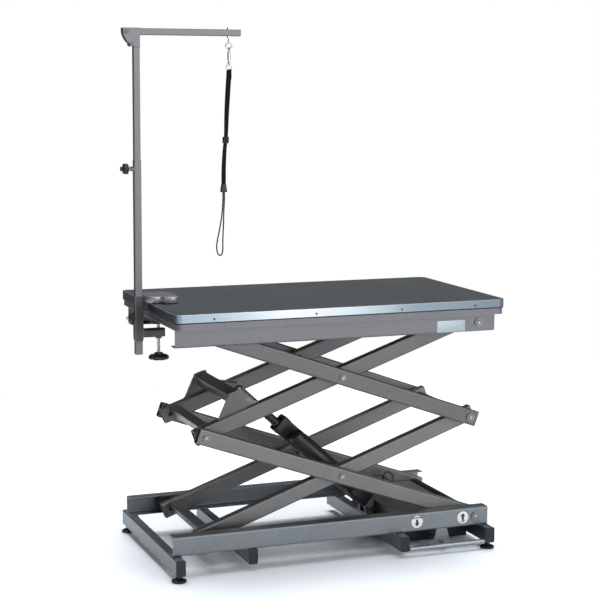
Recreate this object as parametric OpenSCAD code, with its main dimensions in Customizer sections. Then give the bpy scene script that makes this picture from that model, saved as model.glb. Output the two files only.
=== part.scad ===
// Electric grooming table with a double scissor lift, a tilting foot pedal
// and a clamped grooming arm that carries a noose.
// Millimetres, +Z up, +X along the table towards the fixed pivots.
// The origin is on the floor under the middle of the whole object.

/* [Tabletop] */
// Length of the tabletop over its edge trim
deck_len = 1100; // [1000:10:1250]
// Width of the tabletop over its edge trim
deck_w = 612; // [560:2:660]
// Corner radius of the tabletop
deck_corner = 22; // [10:1:40]
// Height of the aluminium edge trim
trim_h = 28; // [20:1:36]
// Wall of the edge trim
trim_wall = 3; // [2:0.5:5]
// Thickness of the rubber mat
mat_t = 3; // [2:0.5:5]
// Height of the steel band under the trim
band_h = 20; // [12:1:28]
// Wall of the steel band
band_wall = 3; // [2:0.5:4]
// Setback of the steel band from the trim
band_inset = 4; // [2:0.5:8]

/* [Scissor lift] */
// Arm length between end pivots
arm_len = 957; // [900:1:990]
// Slope of the arms in this pose
lift_deg = 19.5; // [14:0.1:21]
// Height of an arm's tube
arm_h = 50; // [40:1:54]
// Width of an arm's tube
arm_w = 30; // [24:1:32]
// Wall of every steel tube
tube_wall = 2.5; // [2:0.1:3.5]
// Length of an arm past its end pivots
arm_over = 25; // [22:0.5:27]
// Outer face of the outer arms from the middle
outer_face = 222; // [216:1:224]
// Gap between the outer and the inner arms
arm_gap = 3; // [2:0.5:5]
// Radius of the pivot pins
pin_r = 8; // [6:0.5:10]
// Radius of the two through shafts
shaft_r = 10; // [8:0.5:12]
// X of the fixed lower pivot from the tabletop's middle
fixed_x = 475; // [472:0.5:477]

/* [Base frame] */
// Free height under the cross tubes
foot_gap = 22; // [18:1:30]
// Height of the cross tubes
cross_h = 50; // [40:1:60]
// Width of the cross tubes
cross_w = 30; // [25:1:36]
// Length of the cross tubes without their caps
cross_len = 616; // [590:2:660]
// Height of the base rails
rail_h = 60; // [54:1:66]
// Flange width of the base rails and top channels
flange_w = 40; // [38:0.5:42]
// Wall of the rails and channels
rail_wall = 3; // [2:0.5:4]
// Outer face of the base rails from the middle
rail_face = 267; // [266:0.5:272]
// Diameter of a levelling foot
foot_d = 46; // [36:1:60]

/* [Top frame] */
// Height of the top channels
chan_h = 58; // [52:1:64]
// Outer face of the top channels from the middle
chan_face = 265; // [264:0.5:268]
// Setback of the top channels from the tabletop's right end
chan_inset = 18; // [10:1:30]
// Setback of the top channels from the tabletop's left end
chan_left = 12; // [10:1:16]

/* [Actuator] */
// Height of its lower pivot over the cross tube
clevis_h = 36; // [30:1:42]
// Place of its upper pin along the upper inner arms
yoke_pin_u = 198; // [190:1:206]
// Height of its upper pin over the arms' centre line
yoke_pin_v = 43; // [40:0.5:46]
// Radius of the push rod
rod_r = 12; // [9:0.5:12.5]
// Distance from the lower pivot to the mouth of the housing
mouth_s = 435; // [410:1:440]
// Sideways play of the rod in the housing's slot
rod_play = 9.8; // [9:0.1:11]
// Radius of the motor
motor_r = 27; // [22:0.5:29]

/* [Foot pedal] */
// Length of the pedal bar
pedal_len = 266; // [220:1:268]
// Height of the pedal bar's centre over the floor
pedal_z = 28; // [26:0.5:32]
// Thickness of the pedal bar
pedal_t = 12; // [8:0.5:14]

/* [Grooming arm] */
// X of the post from the tabletop's middle
post_x = -577; // [-580:0.5:-576]
// Outer size of the clamp's sleeve
sleeve_s = 27; // [26.5:0.1:28]
// Outer size of the lower post
post_s = 22; // [21:0.1:22.5]
// Wall of the lower post
post_wall = 1.2; // [1:0.1:1.5]
// Clearance of the sliding posts on each side
post_gap = 0.2; // [0.15:0.05:0.3]
// Top of the lower post over the floor
post_top = 1262; // [1200:1:1300]
// Bottom of the lower post over the floor
post_bottom = 655; // [650:1:680]
// Height of the arm's centre line over the floor
arm_z = 1651; // [1600:1:1700]
// Reach of the arm to the right of the post
arm_reach = 335; // [300:1:400]
// Size of the arm's square tube
arm_s = 21; // [19:0.5:24]
// Distance of the folding pin to the left of the post
fold_back = 31.5; // [30:0.5:34]
// Width of the clamp's jaw
jaw_w = 138; // [110:1:150]
// Thickness of the clamp's jaw
jaw_t = 20; // [14:0.5:26]
// Width of the noose's webbing
web_w = 16; // [12:1:20]
// Thickness of the noose's webbing
web_t = 2.4; // [1.6:0.1:3]
// Diameter of the noose's loop cord
loop_d = 4.2; // [3.6:0.1:6]

/* [Hidden] */
$fn = 48;

// Clearances shared by the whole part
fit = 0.05;
seat = 0.3;
eps = 0.01;

// Heights that stack up from the floor
cross_top = foot_gap + cross_h;
base_z = cross_top + rail_h / 2;
stage_h = arm_len * sin(lift_deg);
stage_w = arm_len * cos(lift_deg);
top_z = base_z + 2 * stage_h;
band_z = top_z + chan_h / 2;
trim_z = band_z + band_h;
deck_top = trim_z + trim_h;

// The whole object's middle lies between the post knob and the right end
knob_reach = 52;
x_shift = -(post_x - knob_reach + deck_len / 2) / 2;

// Pivots of the scissor, as X and Z from the tabletop's middle
roll_x = fixed_x - stage_w;
low_right = [fixed_x, base_z];
low_left = [roll_x, base_z];
mid_right = [fixed_x, base_z + stage_h];
mid_left = [roll_x, base_z + stage_h];
top_left = [roll_x, top_z];
top_right = [fixed_x, top_z];

// Planes of the arms, from the middle outwards
outer_in = outer_face - arm_w;
inner_face = outer_in - arm_gap;
inner_in = inner_face - arm_w;
bush_r = pin_r + 5;

// Base frame
rail_left = -deck_len / 2 + 1;
rail_over = 46;
rail_right = fixed_x + rail_over;
mid_left_u = 122;
mid_right_u = 285;
tube_out = 3;
cross_x = [rail_left - tube_out, roll_x + mid_left_u, fixed_x - mid_right_u,
    rail_right - cross_w + tube_out];
foot_in = 18;
foot_y = cross_len / 2 - foot_in;
clevis_x = cross_x[2] + cross_w / 2;
clevis_z = cross_top + clevis_h;

// Actuator line from its lower pivot to its upper pin
yoke_pin = mid_left + along(lift_deg, yoke_pin_u, yoke_pin_v);
act_dx = clevis_x - yoke_pin[0];
act_dz = yoke_pin[1] - clevis_z;
act_len = norm([act_dx, act_dz]);
act_deg = atan2(act_dz, act_dx);
tongue_y = 20;
ear_t = 6;

// Grooming arm
upper_s = post_s - 2 * post_wall - 2 * post_gap;
sleeve_in = post_s + 2 * post_gap;
post_knob_z = post_top - 28;
fold_x = post_x - fold_back;
arm_end = post_x + arm_reach;
eye_x = arm_end - 36;
eye_z = arm_z - 41;
eye_r = 9.5;
eye_wire = 2.5;
hook_z = eye_z - eye_r;

// A point at u along and v above a line that rises by deg
function along(deg, u, v) = [u * cos(deg) - v * sin(deg), u * sin(deg) + v * cos(deg)];

// Puts the table's own X on the object's middle
module place() {
    translate([x_shift, 0, 0]) children();
}

// Runs along +X from a pivot, tilted up by deg
module from_pivot(p, deg) {
    translate([p[0], 0, p[1]]) rotate([0, -deg, 0]) children();
}

// Mirrors a front piece to the rear
module rear() {
    mirror([0, 1, 0]) children();
}

module both_sides() {
    children();
    rear() children();
}

// A shaft along Y, from y0 to y1
module y_rod(r, y0, y1) {
    translate([0, y1, 0]) rotate([90, 0, 0]) cylinder(r = r, h = y1 - y0);
}

// A rectangle with round corners
module round_rect(w, h, r) {
    square([w - 2 * r, h], center = true);
    square([w, h - 2 * r], center = true);
    for (x = [-1, 1], y = [-1, 1])
        translate([x * (w / 2 - r), y * (h / 2 - r)]) circle(r = r, $fn = 24);
}

// A rectangular tube along +X, wide along Y and high along Z
module box_tube(len, w, h, wall) {
    rotate([90, 0, 90]) linear_extrude(len)
        difference() {
            round_rect(w, h, 2 * wall);
            round_rect(w - 2 * wall, h - 2 * wall, wall);
        }
}

// Scissor arms: a steel tube with a welded bush at each pivot
module scissor_arm(p, deg, y_in, holes) {
    from_pivot(p, deg) difference() {
        union() {
            translate([-arm_over, -y_in - arm_w / 2, 0])
                box_tube(arm_len + 2 * arm_over, arm_w, arm_h, tube_wall);
            for (u = holes)
                translate([u[0], 0, 0]) y_rod(u[1] + 5, -y_in - arm_w, -y_in);
        }
        for (u = holes)
            translate([u[0], 0, 0]) y_rod(u[1] + fit, -y_in - arm_w - eps, -y_in + eps);
    }
}

// Lower outer arms rise from the fixed pivot to the left
module lower_outer_arm() {
    holes = [[0, pin_r], [arm_len / 2, pin_r], [arm_len, shaft_r]];
    scissor_arm(mid_left, -lift_deg, outer_in, holes);
}

module lower_inner_arm() {
    holes = [[0, pin_r], [arm_len / 2, pin_r], [arm_len, shaft_r]];
    scissor_arm(low_left, lift_deg, inner_in, holes);
}

module upper_outer_arm() {
    holes = [[0, pin_r], [arm_len / 2, pin_r], [arm_len, shaft_r]];
    scissor_arm(top_left, -lift_deg, outer_in, holes);
}

module upper_inner_arm() {
    holes = [[0, pin_r], [arm_len / 2, pin_r], [arm_len, shaft_r]];
    scissor_arm(mid_left, lift_deg, inner_in, holes);
}

module steel() {
    color([0.45, 0.45, 0.46]) children();
}

module lower_outer_arm_front() { steel() place() lower_outer_arm(); }
module lower_outer_arm_rear() { steel() place() rear() lower_outer_arm(); }
module lower_inner_arm_front() { steel() place() lower_inner_arm(); }
module lower_inner_arm_rear() { steel() place() rear() lower_inner_arm(); }
module upper_outer_arm_front() { steel() place() upper_outer_arm(); }
module upper_outer_arm_rear() { steel() place() rear() upper_outer_arm(); }
module upper_inner_arm_front() { steel() place() upper_inner_arm(); }
module upper_inner_arm_rear() { steel() place() rear() upper_inner_arm(); }

// A short pin through an outer and an inner arm, with a washer between them
module joint_pin(nut) {
    head_t = 3;
    y_rod(pin_r, -outer_face - head_t, -inner_in + nut - seat);
    y_rod(pin_r + 3, -outer_face - head_t, -outer_face - fit);
    y_rod(pin_r + 5, -inner_face - arm_gap + fit, -inner_face - fit);
    if (nut > 0)
        y_rod(pin_r + 3, -inner_in + fit, -inner_in + nut);
}

// The shaft at the fixed lower pivot ties the two lower outer arms together
module low_shaft() {
    cap_t = 4;
    y_rod(shaft_r, -rail_face - cap_t, rail_face + cap_t);
    y_rod(shaft_r + 7, -outer_in + fit, outer_in - fit);
    both_sides() {
        y_rod(shaft_r + 4, -rail_face - cap_t, -rail_face - fit);
        y_rod(shaft_r + 4, -rail_face + rail_wall + 6 + fit, -outer_face - fit);
    }
}

module lower_outer_pins() {
    centre = (low_right + mid_left) / 2;
    color([0.66, 0.67, 0.68]) place() {
        translate([low_right[0], 0, low_right[1]]) low_shaft();
        translate([centre[0], 0, centre[1]]) both_sides() joint_pin(3);
        translate([mid_left[0], 0, mid_left[1]]) both_sides() joint_pin(0);
    }
}

// The axle of a base roller, from its arm out into the rail
roller_w = flange_w - rail_wall - 4;
module base_axle() {
    roller_out = rail_face - rail_wall - 2;
    y_rod(pin_r, -roller_out - fit, -inner_in - seat);
    y_rod(pin_r + 5, -roller_out + roller_w + seat, -inner_face - fit);
}

// The shaft at the right-hand middle joint ties the upper and lower pairs together
module mid_shaft() {
    cap_t = 4;
    y_rod(shaft_r, -outer_face - cap_t, outer_face + cap_t);
    y_rod(shaft_r + 4, -inner_in + fit, inner_in - fit);
    both_sides() {
        y_rod(shaft_r + 4, -outer_face - cap_t, -outer_face - fit);
        y_rod(shaft_r + 4, -outer_in + fit, -inner_face - fit);
    }
}

module lower_inner_pins() {
    color([0.66, 0.67, 0.68]) place() {
        translate([low_left[0], 0, low_left[1]]) both_sides() base_axle();
        translate([mid_right[0], 0, mid_right[1]]) mid_shaft();
    }
}

module top_axle() {
    roller_out = chan_face - rail_wall - 2;
    y_rod(pin_r, -roller_out - fit, -outer_in + 2);
    y_rod(pin_r + 5, -roller_out + roller_w + seat, -outer_face - fit);
}

module upper_outer_pins() {
    centre = (mid_right + top_left) / 2;
    color([0.66, 0.67, 0.68]) place() {
        translate([centre[0], 0, centre[1]]) both_sides() joint_pin(3);
        translate([top_left[0], 0, top_left[1]]) both_sides() top_axle();
    }
}

// The shaft at the fixed upper pivot, and the pin of the actuator's rod
module upper_inner_pins() {
    cap_t = 4;
    color([0.66, 0.67, 0.68]) place() {
        translate([top_right[0], 0, top_right[1]]) {
            y_rod(shaft_r, -chan_face - cap_t, chan_face + cap_t);
            y_rod(shaft_r + 4, -inner_in + fit, inner_in - fit);
            both_sides() {
                y_rod(shaft_r + 4, -chan_face - cap_t, -chan_face - fit);
                y_rod(shaft_r + 4, -chan_face + rail_wall + 6 + fit, -inner_face - fit);
            }
        }
        translate([yoke_pin[0], 0, yoke_pin[1]]) {
            y_rod(pin_r, -tongue_y - ear_t - 4, tongue_y + ear_t + 4);
            both_sides() y_rod(pin_r + 4, -tongue_y - ear_t - 4, -tongue_y - ear_t - seat);
        }
    }
}

// Rollers run inside the rails and channels
module roller(p, out, inner_h) {
    r = inner_h / 2 - seat;
    groove = 1.5;
    translate([p[0], -out + roller_w, p[1]]) rotate([90, 0, 0]) rotate_extrude()
        polygon([[pin_r + fit, 0], [r - groove, 0], [r, groove], [r, roller_w - groove],
            [r - groove, roller_w], [pin_r + fit, roller_w]]);
}

module base_roller() {
    roller(low_left, rail_face - rail_wall - 2, rail_h - 2 * rail_wall);
}

module top_roller() {
    roller(top_left, chan_face - rail_wall - 2, chan_h - 2 * rail_wall);
}

module black() {
    color([0.08, 0.08, 0.09]) children();
}

module base_roller_front() { black() place() base_roller(); }
module base_roller_rear() { black() place() rear() base_roller(); }
module top_roller_front() { black() place() top_roller(); }
module top_roller_rear() { black() place() rear() top_roller(); }

// A rectangle whose two left corners are round
module left_round(w, h, r) {
    translate([r, 0]) square([w - r, h]);
    translate([0, r]) square([w, h - 2 * r]);
    for (y = [r, h - r])
        translate([r, y]) circle(r = r, $fn = 32);
}

// A channel that opens towards the middle, with a bearing plate at its pivot and closed ends
module channel(len, face, h, pivot_u, ends) {
    bend = rail_wall + 2;
    difference() {
        union() {
            rotate([90, 0, 90]) linear_extrude(len) difference() {
                translate([-face, -h / 2]) left_round(flange_w, h, bend);
                translate([-face + rail_wall, -h / 2 + rail_wall])
                    left_round(flange_w, h - 2 * rail_wall, bend - rail_wall);
            }
            translate([pivot_u, 0, 0]) y_rod(22, -face + rail_wall - eps, -face + rail_wall + 6);
            for (u = ends)
                translate([u, -face + 1, -h / 2 + 1]) cube([rail_wall, flange_w - 1, h - 2]);
        }
        translate([pivot_u, 0, 0]) y_rod(shaft_r + fit, -face - eps, -face + rail_wall + 7);
    }
}

module base_rail() {
    translate([rail_left, 0, base_z])
        channel(rail_right - rail_left, rail_face, rail_h, fixed_x - rail_left, []);
}

module top_channel() {
    left = -deck_len / 2 + chan_left;
    len = deck_len - chan_left - chan_inset;
    translate([left, 0, top_z])
        channel(len, chan_face, chan_h, fixed_x - left, [len - rail_wall]);
}

// A bracket under the front rail carries the pedal's shaft
pedal_shaft_r = 6;
bracket_t = 5;
module pedal_bracket() {
    top_w = 36;
    low_w = 52;
    shoulder = 24;
    low_z = 17;
    translate([pedal_x, -rail_face + rail_wall + bracket_t, 0]) rotate([90, 0, 0])
        linear_extrude(bracket_t) difference() {
            polygon([[-low_w / 2, low_z], [low_w / 2, low_z], [low_w / 2, low_z + shoulder],
                [top_w / 2, cross_top + eps], [-top_w / 2, cross_top + eps],
                [-low_w / 2, low_z + shoulder]]);
            translate([0, pedal_z]) circle(r = pedal_shaft_r + fit);
        }
}

module base_rail_front() {
    steel() place() {
        base_rail();
        pedal_bracket();
    }
}

module base_rail_rear() { steel() place() rear() base_rail(); }
module top_channel_front() { steel() place() top_channel(); }
module top_channel_rear() { steel() place() rear() top_channel(); }

// Cross tubes lie under the rails; the outer two carry the feet
stem_r = 5;
cap_t = 4;
tube_half = [cross_len / 2, rail_face - cap_t, cross_len / 2, cross_len / 2];
module cross_tube(i, footed) {
    x = cross_x[i];
    steel() place() difference() {
        translate([x + cross_w / 2, -tube_half[i], foot_gap + cross_h / 2])
            rotate([0, 0, 90]) box_tube(2 * tube_half[i], cross_w, cross_h, tube_wall);
        if (footed)
            for (y = [-foot_y, foot_y])
                translate([x + cross_w / 2, y, foot_gap - eps])
                    cylinder(r = stem_r + fit, h = tube_wall + 2 * eps);
    }
}

module cross_tube_left() { cross_tube(0, true); }
module cross_tube_mid_left() { cross_tube(1, false); }
module cross_tube_mid_right() { cross_tube(2, false); }
module cross_tube_right() { cross_tube(3, true); }

// Moulded caps close both ends of every cross tube
module end_cap() {
    plug = 10;
    inner_w = cross_w - 2 * tube_wall - 2 * fit;
    inner_h = cross_h - 2 * tube_wall - 2 * fit;
    rotate([90, 0, 0]) {
        linear_extrude(cap_t) round_rect(cross_w, cross_h, 2 * tube_wall);
        translate([0, 0, -plug]) linear_extrude(plug + eps) round_rect(inner_w, inner_h, tube_wall);
        for (i = [-2:2])
            translate([i * cross_w / 6, 0, cap_t + 0.4])
                cube([2, cross_h - 10, 0.8 + eps], center = true);
    }
}

module tube_end_caps() {
    black() place()
        for (i = [0:3])
            both_sides() translate([cross_x[i] + cross_w / 2, -tube_half[i], foot_gap + cross_h / 2])
                end_cap();
}

// A levelling foot: a moulded disc, a threaded stem and a lock nut
module foot(x, y) {
    r = foot_d / 2;
    black() place() translate([x + cross_w / 2, y, 0]) {
        rotate_extrude()
            polygon([[0, 0], [r - 2, 0], [r, 2], [r, 6], [r - 5, 9], [stem_r + 4, 12],
                [stem_r + 4, 14], [stem_r, 14], [stem_r, foot_gap + 22], [0, foot_gap + 22]]);
        translate([0, 0, foot_gap - 6]) difference() {
            cylinder(r = 9.5, h = 6 - fit, $fn = 6);
            translate([0, 0, -eps]) cylinder(r = stem_r - eps, h = 7);
        }
    }
}

module foot_front_left() { foot(cross_x[0], -foot_y); }
module foot_front_right() { foot(cross_x[3], -foot_y); }
module foot_rear_left() { foot(cross_x[0], foot_y); }
module foot_rear_right() { foot(cross_x[3], foot_y); }

// The control box lies between the two right-hand cross tubes
box_gap = 10;
box_x0 = cross_x[2] + cross_w + box_gap;
box_x1 = fixed_x - shaft_r - 7 - 6;
box_over = 26;
box_y = inner_in + box_over;
box_lift = 43;
box_top = cross_top + box_lift;
box_bottom = foot_gap - 8;
pedal_x = (cross_x[2] + cross_w + cross_x[3]) / 2;
skin = 3;

// A shell with walls of one thickness
module shell(x0, x1, y, z0, z1, wall) {
    translate([(x0 + x1) / 2, 0, z0]) linear_extrude(z1 - z0) round_rect(x1 - x0 - 2 * wall,
        2 * y - 2 * wall, 3);
}

module control_box() {
    lid_t = 3;
    lip = 4;
    tray_x1 = cross_x[3] - 4;
    tray_top = base_z - shaft_r - 7 - 5;
    face = box_y - lip;
    steel() place() {
        difference() {
            union() {
                shell(box_x0, box_x1, face, box_bottom, box_top - lid_t, 0);
                shell(box_x0, tray_x1, face, box_bottom, tray_top, 0);
                shell(box_x0, box_x1, box_y, box_top - lid_t, box_top, 0);
                translate([box_x0 - box_gap, -box_y + 30, foot_gap])
                    cube([box_gap + 5, 2 * box_y - 60, 24]);
            }
            shell(box_x0, box_x1, face, box_bottom + skin, box_top - skin, skin);
            shell(box_x0, tray_x1, face, box_bottom + skin, tray_top - skin, skin);
            translate([box_x1 - 30, 60, box_bottom - eps]) cylinder(r = 8, h = skin + 2 * eps);
            translate([pedal_x, 0, pedal_z]) y_rod(pedal_shaft_r + fit, -box_y, -face + skin + eps);
            translate([gland[0], gland[1], box_top - skin - eps]) cylinder(r = lead_d / 2, h = skin + 9);
        }
        translate([gland[0], gland[1], box_top - eps]) difference() {
            cylinder(r = 8, h = 8, $fn = 6);
            translate([0, 0, -eps]) cylinder(r = lead_d / 2 + fit, h = 9);
        }
    }
}

// The pedal rocks about a shaft under the front rail
module foot_pedal() {
    bar_y = cross_len / 2 + 3;
    bar_d = 14;
    collar_y = -rail_face + rail_wall + bracket_t;
    color([0.6, 0.61, 0.62]) place() translate([pedal_x, 0, pedal_z]) {
        translate([-pedal_len / 2, -bar_y + bar_d / 2, 0]) box_tube(pedal_len, bar_d, pedal_t, 2);
        y_rod(pedal_shaft_r, -bar_y + bar_d - 2, -box_y + 6);
        y_rod(pedal_shaft_r + 3, collar_y + seat, collar_y + seat + 6);
    }
}

// A clevis on the third cross tube holds the actuator's lower end
module actuator_clevis() {
    ear_r = 17;
    half = cross_w / 2;
    plate_y = tongue_y + ear_t + 24;
    steel() place() translate([clevis_x, 0, 0]) {
        translate([-half, -plate_y, cross_top]) cube([cross_w, 2 * plate_y, 5]);
        both_sides() translate([0, -tongue_y - seat, 0]) rotate([90, 0, 0])
            linear_extrude(ear_t) difference() {
                union() {
                    translate([0, clevis_z]) circle(r = ear_r);
                    polygon([[-half, cross_top + 5 - eps], [half, cross_top + 5 - eps],
                        [ear_r, clevis_z], [-ear_r, clevis_z]]);
                }
                translate([0, clevis_z]) circle(r = pin_r + fit);
            }
    }
}

module clevis_pin() {
    out = tongue_y + ear_t + 5;
    color([0.66, 0.67, 0.68]) place() translate([clevis_x, 0, clevis_z]) {
        y_rod(pin_r, -out, out);
        both_sides() y_rod(pin_r + 4, -out, -out + 4);
    }
}

// The yoke stands on the upper inner arms and takes the rod's push
module actuator_yoke() {
    beam = 40;
    beam_wall = 4;
    leg_t = 6;
    foot_u = 64;
    foot_len = 100;
    top_v = arm_h / 2 + 60;
    beam_u = yoke_pin_u - 56;
    leg_y = inner_in + arm_w / 2;
    lug_r = 16;
    steel() place() from_pivot(mid_left, lift_deg) {
        translate([beam_u, -leg_y, top_v - beam / 2]) rotate([0, 0, 90])
            box_tube(2 * leg_y, beam, beam, beam_wall);
        both_sides() translate([0, -leg_y, 0]) rotate([90, 0, 0]) linear_extrude(leg_t)
            polygon([[foot_u, arm_h / 2], [foot_u + foot_len, arm_h / 2],
                [foot_u + foot_len, arm_h / 2 + 16],
                [beam_u + beam / 2 + 3, top_v], [beam_u + beam / 2 - 8, top_v + 3],
                [beam_u - beam / 2 + 2, top_v + 3], [beam_u - beam / 2 - 4, top_v - 4]]);
        both_sides() translate([0, -tongue_y - seat, 0]) rotate([90, 0, 0])
            linear_extrude(ear_t) difference() {
                union() {
                    translate([yoke_pin_u, yoke_pin_v]) circle(r = lug_r);
                    polygon([[beam_u + beam / 2 - eps, top_v - 4], [beam_u + beam / 2 - eps, top_v - beam + 6],
                        [yoke_pin_u, yoke_pin_v - lug_r], [yoke_pin_u + 8, yoke_pin_v + lug_r - 3]]);
                }
                translate([yoke_pin_u, yoke_pin_v]) circle(r = pin_r + fit);
            }
    }
}

// A square tie joins the two inner arms of each pair near their left ends
module tie(p, deg, u, v) {
    steel() place() from_pivot(p, deg)
        translate([u, -inner_in, v]) rotate([0, 0, 90]) box_tube(2 * inner_in, 30, 30, tube_wall);
}

module lower_inner_tie() { tie(low_left, lift_deg, 14, 10); }
module upper_inner_tie() { tie(mid_left, lift_deg, 18, 10); }

// The actuator lies on the line from its lower pivot to the yoke's pin
module on_actuator() {
    translate([clevis_x, 0, clevis_z]) rotate([0, act_deg, 0]) mirror([1, 0, 0]) children();
}

house_low = -rod_r - rod_play - 2;
house_high = 33;
house_w = 48;
gear_s0 = 32;
gear_s1 = 108;
gear_w = 60;
motor_v = house_high + motor_r + 1;

module actuator_housing() {
    mid = (house_low + house_high) / 2;
    tall = house_high - house_low;
    collar = 26;
    black() place() on_actuator() difference() {
        union() {
            translate([0, tongue_y, 0]) rotate([90, 0, 0]) linear_extrude(2 * tongue_y)
                union() {
                    circle(r = 19);
                    translate([0, -19]) square([gear_s0 + 4, 38]);
                }
            translate([gear_s0, 0, (house_low + motor_v + motor_r + 3) / 2]) rotate([90, 0, 90])
                linear_extrude(gear_s1 - gear_s0)
                    round_rect(gear_w, motor_v + motor_r + 3 - house_low, 10);
            translate([gear_s1 - eps, 0, mid]) rotate([90, 0, 90])
                linear_extrude(mouth_s - gear_s1 - collar) round_rect(house_w, tall, 9);
            translate([mouth_s - collar - eps, 0, mid]) rotate([90, 0, 90])
                linear_extrude(collar) round_rect(house_w + 4, tall + 3, 10);
        }
        y_rod(pin_r + fit, -tongue_y - eps, tongue_y + eps);
        translate([gear_s1 + 12, 0, 0]) rotate([90, 0, 90]) linear_extrude(mouth_s) union() {
            square([2 * rod_r + 2 * seat, 2 * rod_play], center = true);
            for (v = [-rod_play, rod_play])
                translate([0, v]) circle(r = rod_r + seat);
        }
    }
}

module actuator_motor() {
    len = 232;
    step = 2;
    hood = 26;
    black() place() on_actuator() translate([gear_s1, 0, motor_v]) rotate([0, 90, 0])
        rotate_extrude() polygon([[0, 0], [motor_r, 0], [motor_r, len - hood],
            [motor_r - step, len - hood + step], [motor_r - step, len - 2 * step],
            [motor_r - 3 * step, len], [0, len]]);
}

// The push rod ends in an eye on the yoke's pin
module actuator_rod() {
    eye_r = 18;
    sleeve_len = 68;
    rod_len = act_len - gear_s1 - 135;
    color([0.6, 0.6, 0.61]) place() on_actuator() difference() {
        union() {
            translate([act_len - rod_len, 0, 0]) rotate([0, 90, 0]) cylinder(r = rod_r, h = rod_len - 12);
            translate([act_len - sleeve_len, 0, 0]) rotate([0, 90, 0])
                cylinder(r = rod_r + 3, h = sleeve_len - 12);
            translate([act_len, 0, 0]) y_rod(eye_r, -tongue_y + 4, tongue_y - 4);
        }
        translate([act_len, 0, 0]) y_rod(pin_r + fit, -tongue_y, tongue_y);
    }
}

// The motor's lead runs from a gland on the box to the clevis, with two loops to spare
gland = [334, 150];
lead_d = 5;
LEAD = [
    [334, 150, 117], [334, 150, 128], [334, 150, 140], [336, 151, 151], [342, 152, 159],
    [351, 152, 162], [361, 151, 158], [369, 150, 150], [372, 149, 140], [368, 147, 131],
    [359, 145, 129], [350, 143, 135], [341, 142, 144], [332, 141, 151], [322, 140, 155],
    [312, 139, 156], [302, 138, 155], [290, 136, 155], [278, 132, 156], [266, 126, 155],
    [256, 117, 149], [246, 105, 139], [236, 90, 128], [226, 74, 117], [216, 59, 107],
    [206, 46, 98], [198, 37, 93], [195, 26.6, 92]];

// Points on a smooth curve through the given ones, with n steps between two of them
function between(a, b, c, d, t) =
    ((2 * b) + (c - a) * t + (2 * a - 5 * b + 4 * c - d) * t * t + (3 * b - a - 3 * c + d) * t * t * t) / 2;
function curve(pts, n) = concat(
    [for (i = [0:len(pts) - 2], k = [0:n - 1])
        between(pts[max(i - 1, 0)], pts[i], pts[i + 1], pts[min(i + 2, len(pts) - 1)], k / n)],
    [pts[len(pts) - 1]]);

// A tube swept along points, with a ring of n corners at each and a width along its side
function unit(v) = v / norm(v);
function heading(pts, i) = unit(pts[min(i + 1, len(pts) - 1)] - pts[max(i - 1, 0)]);
function ring(pts, i, side, w, t, n) =
    let (d = heading(pts, i))
    let (a = unit(side - d * (side * d)))
    let (b = cross(d, a))
    [for (k = [0:n - 1]) pts[i] + a * (w / 2 * cos(360 * k / n)) + b * (t / 2 * sin(360 * k / n))];

module swept(pts, sides, w, t, n) {
    m = len(pts);
    points = [for (i = [0:m - 1]) each ring(pts, i, sides[i], w, t, n)];
    faces = concat(
        [for (i = [0:m - 2], k = [0:n - 1]) [i * n + k, (i + 1) * n + k, i * n + (k + 1) % n]],
        [for (i = [0:m - 2], k = [0:n - 1])
            [(i + 1) * n + k, (i + 1) * n + (k + 1) % n, i * n + (k + 1) % n]],
        [for (k = [1:n - 2]) [0, k, k + 1]],
        [for (k = [1:n - 2]) [(m - 1) * n, (m - 1) * n + k + 1, (m - 1) * n + k]]);
    polyhedron(points, faces);
}

module motor_cable() {
    route = curve(LEAD, 2);
    black() place() swept(route, [for (p = route) [0.3, 0.2, 1]], lead_d, lead_d, 8);
}

// Tabletop: board, steel band, edge trim and rubber mat
module deck_outline(inset, r) {
    round_rect(deck_len - 2 * inset, deck_w - 2 * inset, r);
}

module deck_band() {
    r = deck_corner - band_inset;
    steel() place() translate([0, 0, band_z]) linear_extrude(band_h) difference() {
        deck_outline(band_inset, r);
        deck_outline(band_inset + band_wall, r - band_wall);
    }
}

// The board has a shallow trough behind each channel, where the arms' ends rise
module deck_board() {
    low = band_inset + band_wall;
    recess = 7;
    end_gap = 30;
    recess_y = chan_face - flange_w - 1;
    recess_w = recess_y - inner_in + 3;
    color([0.5, 0.42, 0.32]) place() difference() {
        union() {
            translate([0, 0, band_z]) linear_extrude(band_h + eps) deck_outline(low, deck_corner - low);
            translate([0, 0, trim_z]) linear_extrude(trim_h - mat_t)
                deck_outline(trim_wall, deck_corner - trim_wall);
        }
        both_sides() translate([-deck_len / 2 + end_gap, -recess_y, band_z - eps])
            cube([deck_len - 2 * end_gap, recess_w, recess + eps]);
    }
}

module edge_trim() {
    color([0.82, 0.85, 0.87]) place() translate([0, 0, trim_z]) linear_extrude(trim_h)
        difference() {
            deck_outline(0, deck_corner);
            deck_outline(trim_wall, deck_corner - trim_wall);
        }
}

module deck_mat() {
    gap = 0.5;
    color([0.29, 0.32, 0.33]) place() translate([0, 0, deck_top - mat_t])
        linear_extrude(mat_t) deck_outline(trim_wall + gap, deck_corner - trim_wall - gap);
}

// The clamp holds the post at the middle of the table's left end
edge_x = -deck_len / 2;
neck_t = 5;
neck_x = post_x + sleeve_s / 2;
bar_h = 27;
bar_z0 = band_z - 62;
sleeve_z0 = bar_z0 - 11;
pad_t = 3;
jaw_top = deck_top + pad_t + jaw_t;
screw_x = edge_x + 38;
screw_r = 5;
lock_z = band_z;
lock_r = 4;

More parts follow.
